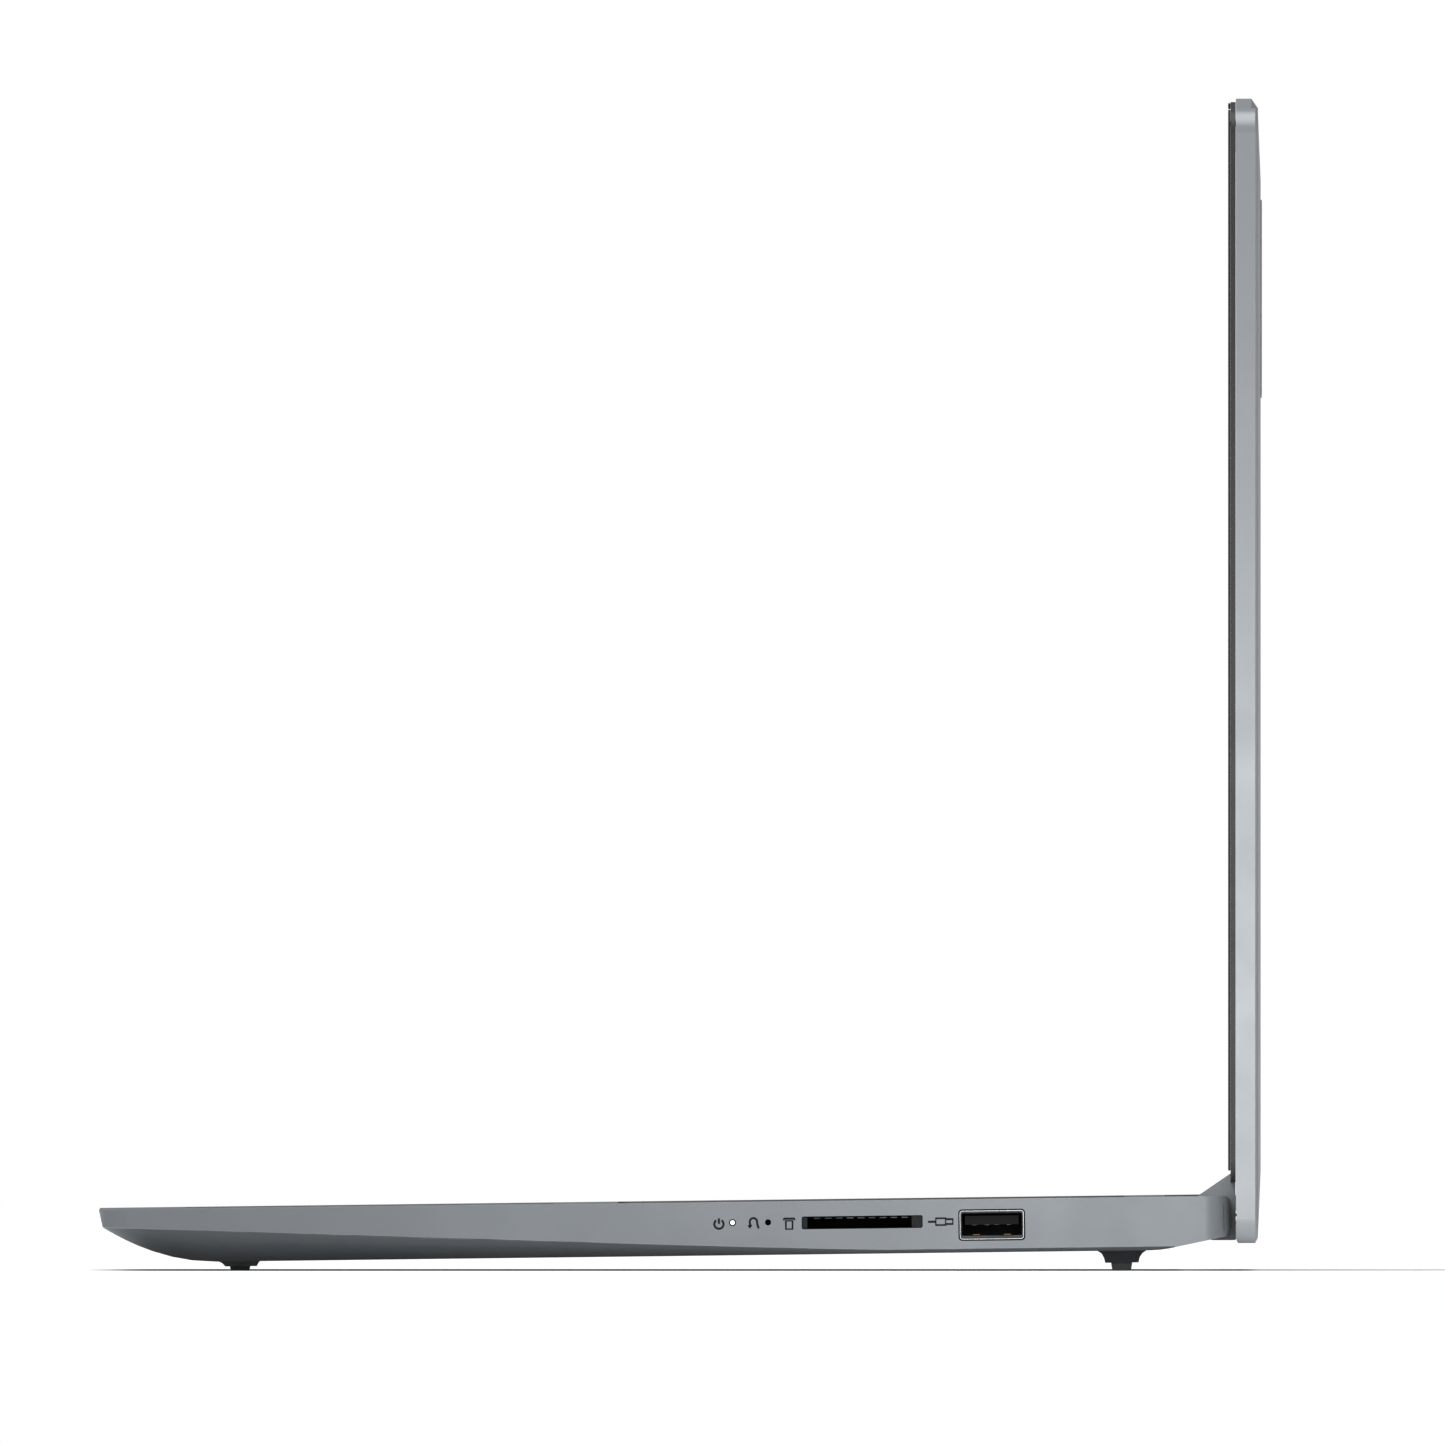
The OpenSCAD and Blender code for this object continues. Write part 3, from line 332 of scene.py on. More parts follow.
def finish_piece(name, mesh, body, material, stands_for, smooth):
    """Shades a mesh and puts it on its body, in place of the CAD nodes it stands for."""
    bm = bmesh.new()
    bm.from_mesh(mesh)
    bmesh.ops.recalc_face_normals(bm, faces=bm.faces)
    bm.to_mesh(mesh)
    bm.free()
    mesh.materials.clear()
    mesh.materials.append(material)
    mesh.shade_smooth()
    mesh.set_sharp_from_angle(angle=math.radians(smooth))
    piece = bpy.data.objects.new(name, mesh)
    bpy.context.scene.collection.objects.link(piece)
    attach(piece, body)
    if stands_for:
        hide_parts(*stands_for)
    return piece


def soften(piece, width_mm, segments=3, angle=40):
    """Rounds a piece's edges and shades its flat faces evenly."""
    bevel = piece.modifiers.new("rounded_edges", "BEVEL")
    bevel.width = width_mm * MM
    bevel.segments = segments
    bevel.limit_method = "ANGLE"
    bevel.angle_limit = math.radians(angle)
    bevel.use_clamp_overlap = True
    level = piece.modifiers.new("level_faces", "WEIGHTED_NORMAL")
    level.keep_sharp = True
    return piece


def refined(node, material, width_mm=0.15, segments=2, angle=40, smooth=30):
    """The CAD node's own shape as a clean mesh. Edges sharper than angle are rounded to width_mm
    in so many segments, and folds sharper than smooth stay crisp."""
    mesh = frame["nodes"][node].data.copy()
    bm = bmesh.new()
    bm.from_mesh(mesh)
    bmesh.ops.remove_doubles(bm, verts=bm.verts, dist=WELD)
    bmesh.ops.dissolve_limit(bm, angle_limit=math.radians(0.4), verts=bm.verts, edges=bm.edges,
                             delimit={"NORMAL"})
    bm.to_mesh(mesh)
    bm.free()
    piece = finish_piece(node + "_skin", mesh, BODY_OF[node], material, (node,), smooth)
    return soften(piece, width_mm, segments, angle)


def arc(cx, cy, r, a0, a1, n=8):
    """Points from angle a0 to a1, in degrees, in n steps."""
    steps = [math.radians(a0 + (a1 - a0) * i / n) for i in range(n + 1)]
    return [(cx + r * math.cos(a), cy + r * math.sin(a)) for a in steps]


def round_box(x0, y0, x1, y1, r, n=5):
    """The outline of a rectangle with round corners."""
    return (arc(x1 - r, y0 + r, r, -90, 0, n) + arc(x1 - r, y1 - r, r, 0, 90, n)
            + arc(x0 + r, y1 - r, r, 90, 180, n) + arc(x0 + r, y0 + r, r, 180, 270, n))


def shrunk(box, by):
    """The corners x0, y0, x1, y1 of a box, drawn in on every side."""
    x0, y0, x1, y1 = box
    return x0 + by, y0 + by, x1 - by, y1 - by


AXES = {"x": lambda a, b, h: (h, a, b), "y": lambda a, b, h: (a, h, b), "z": lambda a, b, h: (a, b, h)}


def prism(outline, axis, low, high):
    """An outline pushed along an axis, closed at both ends."""
    at = AXES[axis]
    n = len(outline)
    points = [at(a, b, low) for a, b in outline] + [at(a, b, high) for a, b in outline]
    sides = [(i, (i + 1) % n, n + (i + 1) % n, n + i) for i in range(n)]
    return points, sides + [tuple(reversed(range(n))), tuple(range(n, 2 * n))]


def tube(outer, inner, axis, low, high):
    """A wall between two outlines of the same number of points."""
    at = AXES[axis]
    n = len(outer)
    points = [at(a, b, h) for loop, h in ((outer, low), (outer, high), (inner, high), (inner, low))
              for a, b in loop]
    return points, [(k * n + i, k * n + (i + 1) % n, (k + 1) % 4 * n + (i + 1) % n, (k + 1) % 4 * n + i)
                    for k in range(4) for i in range(n)]


def brick(x0, x1, y0, y1, z0, z1):
    return prism([(x0, y0), (x1, y0), (x1, y1), (x0, y1)], "z", z0, z1)


def stroke(path, width, axis, low, high, closed=False):
    """A line of even width drawn on a face, with a little thickness."""
    n = len(path)
    left = []
    right = []
    for i, (a, b) in enumerate(path):
        before = path[(i - 1) % n] if closed or i > 0 else path[i]
        after = path[(i + 1) % n] if closed or i < n - 1 else path[i]
        along = Vector((after[0] - before[0], after[1] - before[1])).normalized()
        left.append((a - along.y * width / 2, b + along.x * width / 2))
        right.append((a + along.y * width / 2, b - along.x * width / 2))
    if closed:
        return tube(left, right, axis, low, high)
    return prism(left + right[::-1], axis, low, high)


def lathe(profile, centre, axis, n=32):
    """A turned part: profile is (distance along the axis, radius)."""
    at = AXES[axis]
    points = []
    for along, r in profile:
        ring = arc(centre[0], centre[1], r, 0, 360 - 360 / n, n - 1)
        points += [at(a, b, along) for a, b in ring]
    faces = [(k * n + i, k * n + (i + 1) % n, (k + 1) * n + (i + 1) % n, (k + 1) * n + i)
             for k in range(len(profile) - 1) for i in range(n)]
    last = (len(profile) - 1) * n
    return points, faces + [tuple(reversed(range(n))), tuple(range(last, last + n))]


# ---------------------------------------------------------------- keyboard


KEY_PITCH = 18.1
DISH = 0.12                             # depth of the hollow in a cap's top
SIGN_SINK = 0.02                        # how far a drawn sign reaches below the hollow's floor
SIGN_RISE = 0.015                       # and above it


def key_cap(low, high):
    """A cap with a soft top edge and a shallow dish."""
    x0, y0, z0 = low
    x1, y1, z1 = high
    rings = [(0, z0), (0, z1 - 0.5), (0.1, z1 - 0.22), (0.3, z1 - 0.06), (0.6, z1),
             (1.3, z1 - 0.03), (2.4, z1 - 0.09), (3.4, z1 - DISH)]
    points = []
    for inset, z in rings:
        outline = round_box(x0 + inset, y0 + inset, x1 - inset, y1 - inset, 1.0)
        points += [(a, b, z) for a, b in outline]
    n = len(outline)
    last = (len(rings) - 1) * n
    faces = [(k * n + i, k * n + (i + 1) % n, (k + 1) * n + (i + 1) % n, (k + 1) * n + i)
             for k in range(len(rings) - 1) for i in range(n)]
    faces += [tuple(reversed(range(n))), tuple(range(last, last + n))]
    return points, faces


# Plain words on the keys of each row, left to right
LEGENDS = {
    "function_keys": (["esc"] + ["F%d" % i for i in range(1, 13)]
                      + ["prt", "ins", "del", "home", "end", "pg"]),
    "number_row_keys": list("`1234567890-=") + ["back"],
    "upper_row_keys": ["tab"] + list("QWERTYUIOP[]\\"),
    "home_row_keys": ["caps"] + list("ASDFGHJKL;'") + ["enter"],
    "lower_row_keys": ["shift"] + list("ZXCVBNM,./") + ["shift"],
    "bottom_row_keys": ["ctrl", "fn", "menu", "alt", "alt", "ctrl"],
}
# Words on the numeric pad, by the row in which a key's rear edge lies, front row first
NUMERIC_WORDS = [["0", "."], ["1", "2", "3", "enter"], ["4", "5", "6"], ["7", "8", "9", "+"],
                 ["num", "/", "*", "-"]]
LETTER_H = 3.2
WORD_H = 2.2
LEGEND_LIFT = 0.012


def letter_shape(text, size):
    """The outline mesh of a legend, as points in mm about its middle, and faces."""
    curve = bpy.data.curves.new("legend", "FONT")
    curve.body = text
    curve.size = size
    curve.resolution_u = 3
    curve.align_x = "CENTER"
    curve.align_y = "CENTER"
    holder = bpy.data.objects.new("legend", curve)
    bpy.context.scene.collection.objects.link(holder)
    bpy.context.view_layer.update()
    mesh = holder.to_mesh()
    shape = [tuple(v.co) for v in mesh.vertices], [tuple(p.vertices) for p in mesh.polygons]
    holder.to_mesh_clear()
    bpy.data.objects.remove(holder)
    bpy.data.curves.remove(curve)
    return shape


def legend(text, low, high):
    size = LETTER_H if len(text) == 1 else WORD_H
    points, faces = letter_shape(text, size)
    cx = (low.x + high.x) / 2
    cy = (low.y + high.y) / 2
    z = high.z - DISH + LEGEND_LIFT
    return [(cx + p[0], cy + p[1], z) for p in points], faces


def from_left(boxes):
    return sorted(boxes, key=lambda box: box[0].x)


def pad_rows(boxes):
    """Numeric-pad keys by the row in which each one's rear edge lies, front row first."""
    rows = {}
    for low, high in boxes:
        rows.setdefault(round(high.y / KEY_PITCH), []).append((low, high))
    return [from_left(rows[k]) for k in sorted(rows)]


def power_sign(cy, cz, r, axis, low, high, width):
    """An open ring with a short line through its gap."""
    ring = arc(cy, cz, r, 125, 415, 26)
    return [stroke(ring, width, axis, low, high),
            stroke([(cy, cz + 0.05), (cy, cz + r * 1.25)], width, axis, low, high)]


def keyboard():
    groups = ["function_keys", "number_row_keys", "upper_row_keys", "home_row_keys", "lower_row_keys",
              "bottom_row_keys", "space_bar", "arrow_keys", "numeric_pad_keys", "power_button"]
    for node in groups:
        boxes = solid_boxes(node, BASE)
        caps = [key_cap(low, high) for low, high in boxes]
        make(node + "_caps", caps, BASE, BODY_OF[node], KEYS, (node,), 50)
        signs = key_signs(node, boxes)
        if signs:
            make(node + "_legends", signs, BASE, BODY_OF[node], LEGEND)


def key_signs(node, boxes):
    if node == "power_button":
        low, high = boxes[0]
        z = high.z - DISH
        return power_sign((low.x + high.x) / 2, (low.y + high.y) / 2, 1.5, "z", z - SIGN_SINK,
                          z + SIGN_RISE, 0.35)
    if node == "arrow_keys":
        return [arrow_sign(low, high, boxes) for low, high in boxes]
    if node == "numeric_pad_keys":
        return [legend(word, low, high) for row, words in zip(pad_rows(boxes), NUMERIC_WORDS)
                for word, (low, high) in zip(words, row)]
    words = LEGENDS.get(node, [])
    return [legend(word, low, high) for word, (low, high) in zip(words, from_left(boxes))]


def arrow_sign(low, high, boxes):
    """A small triangle that points the key's way."""
    cx = (low.x + high.x) / 2
    cy = (low.y + high.y) / 2
    z = high.z - DISH
    columns = sorted({round(box[0].x) for box in boxes})
    column = columns.index(round(low.x))
    upper = cy > min(box[0].y for box in boxes) + KEY_PITCH / 2
    turn = {0: 180, 2: 0}.get(column, 90 if upper else 270)
    points = arc(cx, cy, 1.2, turn, turn + 240, 2)
    return prism(points, "z", z - SIGN_SINK, z + SIGN_RISE)


# ---------------------------------------------------------------- sockets and side marks


# Sockets, in mm
TONGUE_BACK = 1.1                       # the tongue ends this far behind the mouth
PLATE_T = 0.8                           # plate that closes a socket's back
SHELL_FLOOR = 0.76                      # type A: shell below its opening
SHELL_ROOF = 0.52                       # and above it
SHELL_WALL = 0.4
SHELL_R = 0.6
TONGUE_H = 1.84
TONGUE_DROP = 0.55                      # from the opening's roof to the tongue
BLADES_AT = (-3.5, -1.0, 1.0, 3.5)      # blades under the tongue, from its middle
BLADE_W = 0.9
SPRINGS_AT = (-3.2, 3.2)                # springs in the shell's floor
SPRING_W = 1.4
PIN_PITCH = 0.7                         # flat sockets: pins along the tongue
PIN_ROOM = 0.75
PIN_W = 0.34
PIN_RISE = 0.04                         # pins stand this far off the tongue


def usb_socket(node, side):
    """Shell with a rolled mouth, black tongue, four blades below it and two springs."""
    low, high = local_box(node, BASE)
    mouth = max(abs(low.x), abs(high.x))
    back = min(abs(low.x), abs(high.x))
    face = (low.y, low.z, high.y, high.z)
    opening = (low.y + SHELL_WALL, low.z + SHELL_FLOOR, high.y - SHELL_WALL, high.z - SHELL_ROOF)
    outer = round_box(*face, SHELL_R)
    inner = round_box(*opening, 0.35)
    shell = tube(outer, inner, "x", side * back, side * mouth)
    soften(make(node + "_shell", [shell], BASE, "base", SHADED_SOCKET_STEEL, (node,)), 0.12, 3)

    lip = tube(inner, round_box(*shrunk(opening, 0.15), 0.3), "x", side * (mouth - 1.6),
               side * (mouth - 1.2))
    plate = prism(round_box(*shrunk(face, 0.5), 0.3), "x", side * back, side * (back + PLATE_T))
    tongue_z = opening[3] - TONGUE_DROP
    tongue = brick(side * (back + 0.5), side * (mouth - TONGUE_BACK), low.y + 1.05, high.y - 1.05,
                   tongue_z - TONGUE_H, tongue_z)
    soften(make(node + "_tongue", [tongue, plate, lip], BASE, "base", TONGUE), 0.15)

    middle = (low.y + high.y) / 2
    blades = [brick(side * (mouth - 8), side * (mouth - 2.2), y - BLADE_W / 2, y + BLADE_W / 2,
                    tongue_z - 1.95, tongue_z - 1.8) for y in [middle + at for at in BLADES_AT]]
    springs = [brick(side * (mouth - 6), side * (mouth - 1.3), y - SPRING_W / 2, y + SPRING_W / 2,
                     opening[1] - 0.05, opening[1] + 0.3) for y in [middle + at for at in SPRINGS_AT]]
    make(node + "_blades", blades, BASE, "base", SHADED_SOCKET_STEEL)
    make(node + "_springs", springs, BASE, "base", SHADED_GOLD)

    edge = tube(round_box(*shrunk(face, 0.04), SHELL_R - 0.04),
                round_box(*shrunk(face, 0.13), SHELL_R - 0.13), "x",
                side * (mouth - 0.3), side * (mouth + 0.01))
    make(node + "_bright_edge", [edge], BASE, "base", STEEL)
    # A black ring round the shell where it meets the side wall: painted shade for the dark gap about the
    # socket
    gap_shade = tube(round_box(*shrunk(face, -0.28), 0.8), outer, "x", side * (HALF - 0.4),
                side * (HALF + 0.01))
    make(node + "_seal", [gap_shade], BASE, "base", TONGUE)


def flat_socket(node, side, tongue_w, tongue_h, radius, wall):
    """A socket for a flat plug, from its CAD size, with its corner radius and wall thickness."""
    low, high = local_box(node, BASE)
    mouth = max(abs(low.x), abs(high.x))
    back = min(abs(low.x), abs(high.x))
    face = (low.y, low.z, high.y, high.z)
    outer = round_box(*face, radius)
    inner = round_box(*shrunk(face, wall), radius - wall * 0.7)
    shell = tube(outer, inner, "x", side * back, side * mouth)
    soften(make(node + "_shell", [shell], BASE, "base", SHADED_SOCKET_STEEL, (node,)), 0.1, 3)

    cy = (low.y + high.y) / 2
    cz = (low.z + high.z) / 2
    plate = prism(round_box(*shrunk(face, 0.3), radius - 0.35), "x", side * back,
                  side * (back + PLATE_T))
    tongue = brick(side * (back + 0.5), side * (mouth - TONGUE_BACK), cy - tongue_w / 2,
                   cy + tongue_w / 2, cz - tongue_h / 2, cz + tongue_h / 2)
    soften(make(node + "_tongue", [plate, tongue], BASE, "base", TONGUE), 0.08)

    count = int(tongue_w / PIN_ROOM)
    reach = tongue_h / 2 + PIN_RISE
    pins_at = [cy + (i - (count - 1) / 2) * PIN_PITCH for i in range(count)]
    pins = [brick(side * (back + 2), side * (mouth - 1.4), y - PIN_W / 2, y + PIN_W / 2, cz - reach,
                  cz + reach) for y in pins_at]
    make(node + "_contacts", pins, BASE, "base", SHADED_GOLD)


CARD_MOUTH = (24.9, 2.65)               # width and height of the card slot's mouth
MOUTH_RISE = 2.53                       # from the reader's underside to its mouth
FRONT_GUIDE_W = 1.2
REAR_GUIDE_W = 2.3
SLOT_SPRINGS = 9
SPRING_PITCH = 2.25


def card_slot():
    """The reader behind its mouth: dark guides at both ends and a row of springs near the top."""
    refined("card_reader", TONGUE, 0.1)
    low, high = local_box("card_reader", BASE)
    cy = (low.y + high.y) / 2
    z0 = low.z + MOUTH_RISE
    z1 = z0 + CARD_MOUTH[1]
    y0 = cy - CARD_MOUTH[0] / 2
    y1 = cy + CARD_MOUTH[0] / 2
    front = HALF - 0.5
    inside = high.x + 0.02
    guides = [brick(inside, front - 0.4, y0 + 0.02, y0 + FRONT_GUIDE_W, z0 + 0.05, z1 - 0.05),
              brick(inside, front - 0.2, y1 - REAR_GUIDE_W, y1 - 0.02, z0 + 0.05, z1 - 0.05)]
    soften(make("card_slot_guides", guides, BASE, "base", BLOCK), 0.1)
    starts = [y0 + 2.6 + i * SPRING_PITCH for i in range(SLOT_SPRINGS)]
    springs = [brick(inside - 5, inside - 0.4, y, y + 1.3, z1 - 0.5, z1 - 0.32) for y in starts]
    make("card_slot_contacts", springs, BASE, "base", SHADED_SOCKET_STEEL)


INK_OUT = 0.012
INK_LAYER = ("x", HALF - 0.06, HALF + INK_OUT)
INK_WIDTH = 0.46


def ink_line(path, closed=False):
    return stroke(path, INK_WIDTH, *INK_LAYER, closed)


def recovery_sign(cy, cz):
    """A line that turns back on itself, with an arrow head on its front leg."""
    hook = ([(cy - 0.62, cz - 0.85)] + arc(cy, cz + 0.15, 0.75, 180, 0, 12)
            + [(cy + 0.78, cz - 0.3), (cy + 1.05, cz - 1.25)])
    head = [(cy - 1.25, cz - 0.55), (cy - 0.2, cz - 0.5), (cy - 0.75, cz - 1.3)]
    return [ink_line(hook), prism(head, *INK_LAYER)]


def card_sign(cy, cz):
    """A card under the edge of its slot."""
    slot = [(cy - 1.1, cz + 0.35), (cy - 1.1, cz + 0.7), (cy + 1.1, cz + 0.7), (cy + 1.1, cz + 0.35)]
    card = [(cy - 0.68, cz + 0.25), (cy + 0.68, cz + 0.25), (cy + 0.68, cz - 1.45), (cy - 0.68, cz - 1.45)]
    return [ink_line(slot), ink_line(card, True)]


def plug_sign(y, z):
    """A cord, the body of a plug and its open end."""
    cord = [(y, z), (y + 1.6, z)]
    body = [(y + 1.6, z - 0.7), (y + 3.6, z - 0.7), (y + 3.6, z + 0.7), (y + 1.6, z + 0.7)]
    end = [(y + 3.7, z + 0.5), (y + 5.1, z + 0.5), (y + 5.1, z - 0.5), (y + 3.7, z - 0.5)]
    return [ink_line(cord), ink_line(body, True), ink_line(end)]


def middle_of(node):
    low, high = local_box(node, BASE)
    return (low + high) / 2


def side_marks():
    """Pictograms printed on the right side: power, recovery arrow, card, and a plain plug."""
    light = middle_of("status_light")
    reset = middle_of("reset_button")
    card_y = middle_of("card_reader").y - CARD_MOUTH[0] / 2 - 2.55
    plug_y = local_box("usb_a_port_right", BASE)[0].y - 6.5
    marks = power_sign(light.y - 2.8, reset.z - 0.25, 0.95, *INK_LAYER, INK_WIDTH)
    marks += recovery_sign(reset.y - 3.0, reset.z)
    marks += card_sign(card_y, reset.z)
    marks += plug_sign(plug_y, reset.z - 0.3)
    make("side_marks_right", marks, BASE, "base", INK)


def status_light():
    """A milky light pipe in a dark ring."""
    low = local_box("status_light", BASE)[0]
    light = middle_of("status_light")
    ring = tube(arc(light.y, light.z, 0.74, 0, 345, 23), arc(light.y, light.z, 0.47, 0, 345, 23), "x",
                HALF - 0.3, HALF + INK_OUT)
    make("status_light_ring", [ring], BASE, "base", BLOCK)
    pipe = lathe([(low.x, 0.4), (HALF - 0.25, 0.46), (HALF - 0.08, 0.44), (HALF, 0.36)],
                 (light.y, light.z), "x")
    make("status_light_pipe", [pipe], BASE, "base", GLOW, ("status_light",), 60)


JACK_Z = 5.2                            # height of the headphone socket's bore


def round_sockets():
    """The headphone socket with a bright ring about its bore, and the power socket."""
    refined("audio_jack", PLASTIC, 0.2, 3)
    refined("power_jack", PLASTIC, 0.2, 3)
    low, high = local_box("audio_jack", BASE)
    cy = (low.y + high.y) / 2
    ring = tube(arc(cy, JACK_Z, 2.3, 0, 350, 35), arc(cy, JACK_Z, 1.82, 0, 350, 35), "x",
                low.x - 0.02, low.x + 1)
    make("audio_jack_ring", [ring], BASE, "base", STEEL)


# ---------------------------------------------------------------- assemble the object

# Node, material, rounding in mm, its segments, the angle rounded from and the angle left crisp
refined("upper_case", CASE, 0.3, 3, 50, 30)
refined("bottom_cover", COVER, 0.12, 2, 50, 32)
refined("lid_shell", LID_PAINT, 0.25, 3, 30, 30)
refined("hinge_cover", CASE, 0.15, 3, 40, 30)
refined("display_bezel", BEZEL, 0.2, 3, 50, 30)
refined("screen_gasket", GASKET, 0.18, 3, 50, 30)
refined("lid_badge", BADGE, 0.08, 2)
refined("touchpad", PAD, 0.25, 3)
refined("front_feet", RUBBER, 0.25, 3)
refined("rear_foot", REAR_RUBBER_PAINTED_LIGHT, 0.25, 3)
refined("display_panel", SCREEN, 0.1)
refined("camera_module", PLASTIC, 0.15)
refined("camera_shutter", PLASTIC, 0.12)
refined("reset_button", TONGUE, 0.12)
keyboard()
usb_socket("usb_a_port_right", 1)
usb_socket("usb_a_port_left", -1)
# Node, side, then the tongue's width and height, the corner radius and the wall in mm
flat_socket("hdmi_port", -1, 11, 1.0, 0.8, 0.5)
flat_socket("usb_c_port", -1, 6.69, 0.7, 1.55, 0.33)
card_slot()
round_sockets()
side_marks()
status_light()

# Parts inside the case keep their CAD shape
INSIDE = {
    "keyboard_plate": STAMPED, "system_board": BOARD, "processor": CHIP, "heat_spreader": COPPER,
    "heat_pipe": COPPER, "heat_sink_fins": COPPER, "fan_housing": PLASTIC, "fan_rotor": PLASTIC,
    "battery_pack": WRAP, "solid_state_drive": BOARD, "memory_module": BOARD, "wireless_card": STAMPED,
    "io_board": BOARD, "io_cable": CABLE, "speakers": PLASTIC, "hinge_base_brackets": HINGE_STEEL,
    "hinge_shafts": HINGE_STEEL, "hinge_nuts": HINGE_STEEL, "hinge_screws": SCREW, "bottom_screws": SCREW,
    "board_screws": SCREW, "touchpad_bracket": STAMPED, "display_cable_base": CABLE,
    "hinge_lid_brackets": HINGE_STEEL, "lid_screws": SCREW, "display_cable_lid": CABLE, "antennas": FOIL,
}
for inside_node, inside_material in INSIDE.items():
    inside_mesh = frame["nodes"][inside_node].data
    inside_mesh.materials.clear()
    inside_mesh.materials.append(inside_material)

# ---------------------------------------------------------------- floor, light, camera

FLOOR_REACH = 12                        # m


def floor():
    n = Nodes("floor_paint")
    n.link(n.mix(n.noise(3, 2.0), (0.86, 0.86, 0.87), (0.9, 0.9, 0.9)), n.shader.inputs["Base Color"])
    n.shader.inputs["Roughness"].default_value = 0.8
    n.shader.inputs["Specular IOR Level"].default_value = 0.1
    n.shader.inputs["Emission Color"].default_value = (1, 1, 1, 1)
    n.shader.inputs["Emission Strength"].default_value = 0.06
    # Seen from below, the floor lets the underside of the object show, and light reach it
    geometry = n.add("ShaderNodeNewGeometry")
    path = n.add("ShaderNodeLightPath")
    either = n.add("ShaderNodeMath", operation="MAXIMUM")
    n.link(geometry.outputs["Backfacing"], either.inputs[0])
    n.link(path.outputs["Is Shadow Ray"], either.inputs[1])
    clear = n.add("ShaderNodeBsdfTransparent")
    sides = n.add("ShaderNodeMixShader")
    n.link(either.outputs[0], sides.inputs[0])
    n.link(n.shader.outputs[0], sides.inputs[1])
    n.link(clear.outputs[0], sides.inputs[2])
    n.link(sides.outputs[0], n.tree.nodes["Material Output"].inputs["Surface"])
    corners = [(-1, -1), (1, -1), (1, 1), (-1, 1)]
    mesh = bpy.data.meshes.new("floor")
    mesh.from_pydata([(x * FLOOR_REACH, y * FLOOR_REACH, 0) for x, y in corners], [], [(0, 1, 2, 3)])
    mesh.materials.append(n.material)
    plane = bpy.data.objects.new("floor", mesh)
    bpy.context.scene.collection.objects.link(plane)


def soft_light(name, place, aim, size, power, tint=(1, 1, 1)):
    """A round soft box, size in m and power in W."""
    data = bpy.data.lights.new(name, "AREA")
    data.shape = "DISK"
    data.size = size
    data.energy = power
    data.color = tint
    lamp = bpy.data.objects.new(name, data)
    lamp.location = place
    lamp.rotation_euler = (Vector(aim) - Vector(place)).to_track_quat("-Z", "Y").to_euler()
    lamp.visible_camera = False
    bpy.context.scene.collection.objects.link(lamp)
    return data


def sun_light(name, toward, strength):
    """A wide, soft sun, like an overcast sky."""
    data = bpy.data.lights.new(name, "SUN")
    data.energy = strength
    data.angle = math.radians(70)
    lamp = bpy.data.objects.new(name, data)
    lamp.rotation_euler = Vector(toward).to_track_quat("Z", "Y").to_euler()
    bpy.context.scene.collection.objects.link(lamp)


def sky():
    """White to the camera, and a soft even glow to the object."""
    world = bpy.data.worlds.new("studio")
    bpy.context.scene.world = world
    world.use_nodes = True
    tree = world.node_tree
    tree.nodes.clear()
    output = tree.nodes.new("ShaderNodeOutputWorld")
    seen = tree.nodes.new("ShaderNodeBackground")
    glow = tree.nodes.new("ShaderNodeBackground")
    mix = tree.nodes.new("ShaderNodeMixShader")
    path = tree.nodes.new("ShaderNodeLightPath")
    seen.inputs["Color"].default_value = (1, 1, 1, 1)
    seen.inputs["Strength"].default_value = 1.0
    glow.inputs["Color"].default_value = (0.97, 0.98, 1.0, 1)
    glow.inputs["Strength"].default_value = 0.22
    tree.links.new(path.outputs["Is Camera Ray"], mix.inputs[0])
    tree.links.new(glow.outputs[0], mix.inputs[1])
    tree.links.new(seen.outputs[0], mix.inputs[2])
    tree.links.new(mix.outputs[0], output.inputs[0])


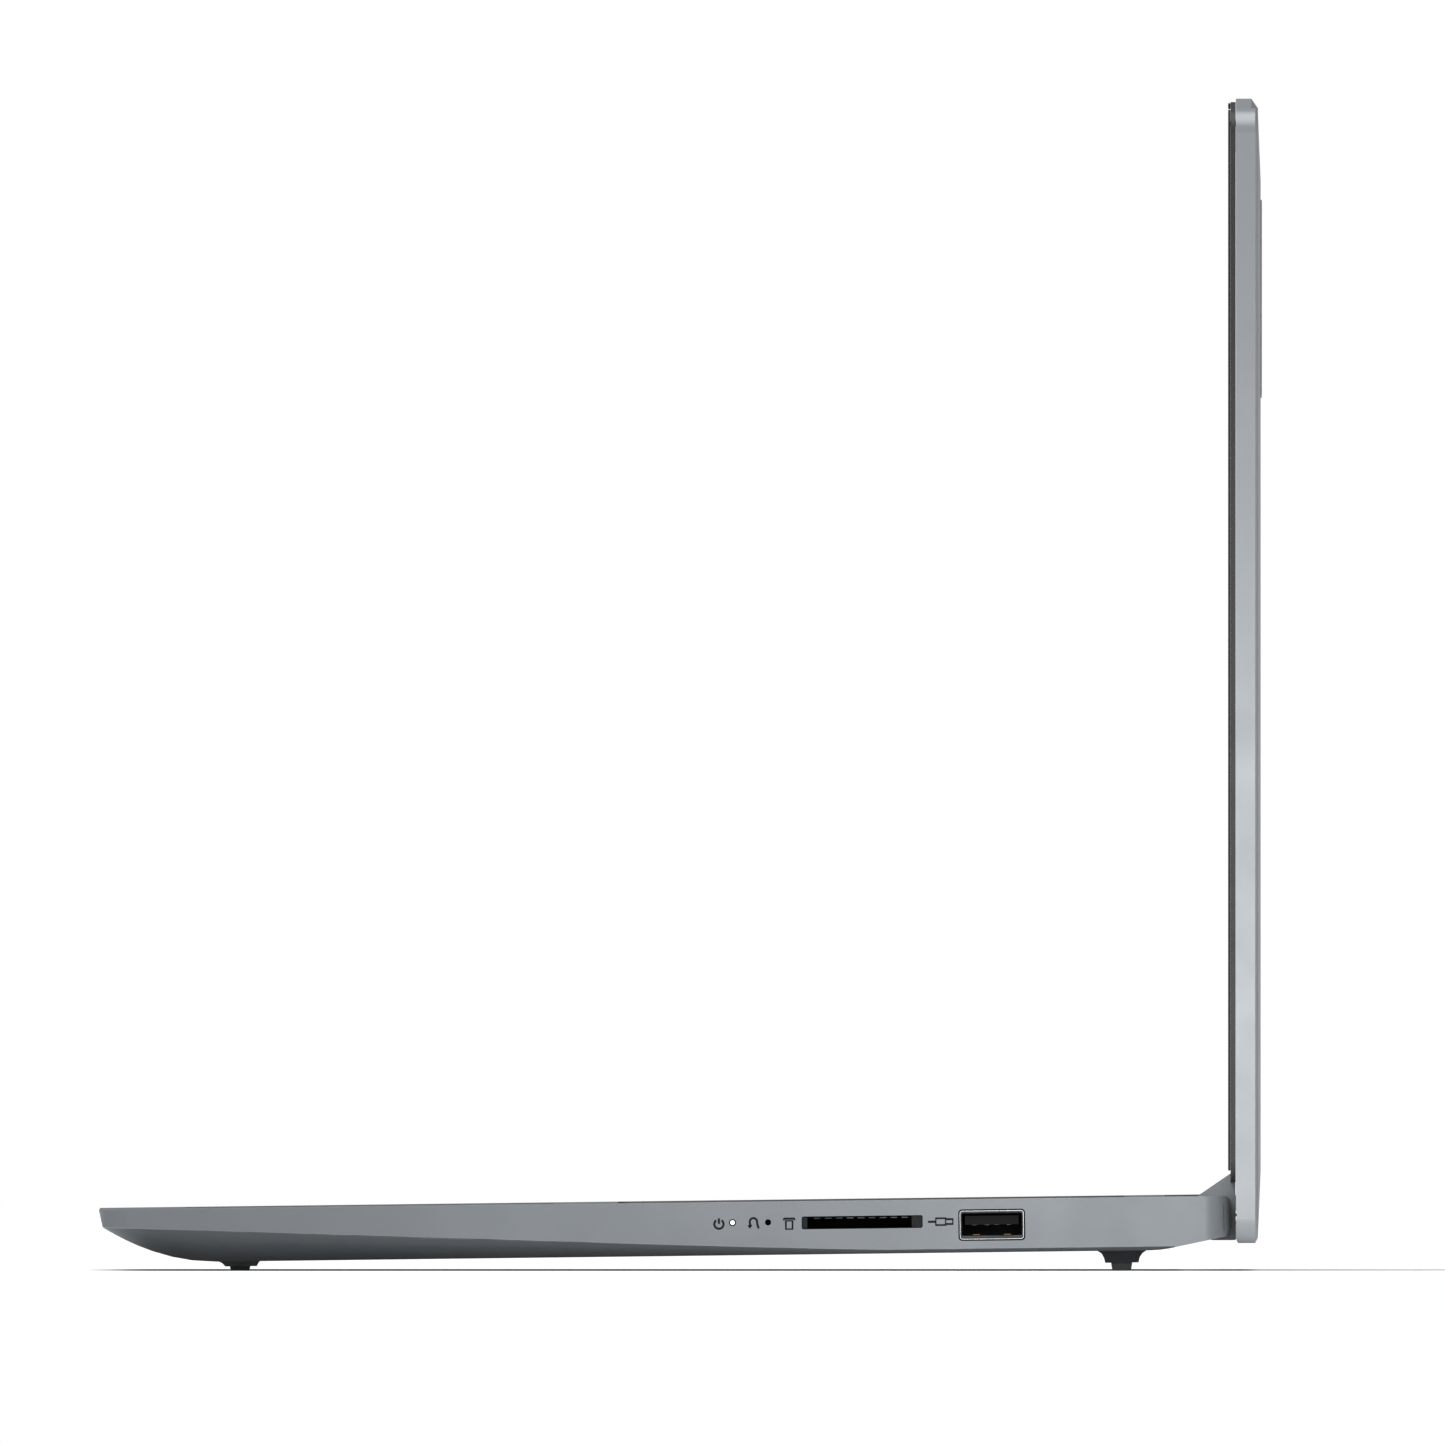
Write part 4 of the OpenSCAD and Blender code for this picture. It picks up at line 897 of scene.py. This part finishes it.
PICTURE = 0.2971              # width of the picture at the object, m
WIDE = 0.58                   # width when the camera is close, for other views
FRONT_TO_MIDDLE = 0.12818     # from the front edge to the picture's middle, m
DESK_TO_MIDDLE = 0.11256      # from the desk to the picture's middle, m
CAMERA_DISTANCE = 3.0
CAMERA_RISE = 0.06            # degrees above level
CAMERA_AT_SIDE = "x > 2 and z > 0"
UNDER_POWER = 14              # light on the underside, W, only when the camera looks up at it


def camera():
    data = bpy.data.cameras.new("camera")
    data.type = "ORTHO"
    data.clip_start = 0.01
    data.clip_end = 100
    eye = bpy.data.objects.new("camera", data)
    bpy.context.scene.collection.objects.link(eye)
    target = Vector((0, cad_box[0][1] + FRONT_TO_MIDDLE, DESK_TO_MIDDLE))
    rise = math.radians(CAMERA_RISE)
    eye.location = target + Vector((math.cos(rise), 0, math.sin(rise))) * CAMERA_DISTANCE
    eye.rotation_euler = (target - eye.location).to_track_quat("-Z", "Y").to_euler()
    follow_camera(data, "ortho_scale", eye, "%g if %s else %g" % (PICTURE, CAMERA_AT_SIDE, WIDE))
    bpy.context.scene.camera = eye
    return eye


def follow_camera(data, setting, eye, expression):
    """A setting worked out from the camera's place, x, y and z."""
    driver = data.driver_add(setting).driver
    driver.type = "SCRIPTED"
    for axis in ("x", "y", "z"):
        variable = driver.variables.new()
        variable.name = axis
        variable.type = "TRANSFORMS"
        variable.targets[0].id = eye
        variable.targets[0].transform_type = "LOC_" + axis.upper()
    driver.expression = expression


floor()
sky()
# A soft box beside the hinge, a low one near the front corner, and daylight from above
soft_light("side_light", (0.42, 0.095, 0.065), (0.18, 0.11, 0.055), 0.12, 0.235, (1.0, 0.998, 0.992))
soft_light("low_light", (0.42, -0.02, 0.004), (0.14, -0.04, 0.003), 0.02, 0.03)
sun_light("overhead", (0.15, -0.22, 1.0), 3.3)
under_light = soft_light("under_light", (-0.3, -0.4, -0.9), (0, 0, 0), 0.8, 0)
follow_camera(under_light, "energy", camera(), "%g if z < 0 else 0" % UNDER_POWER)
bpy.context.scene.view_settings.view_transform = "Standard"
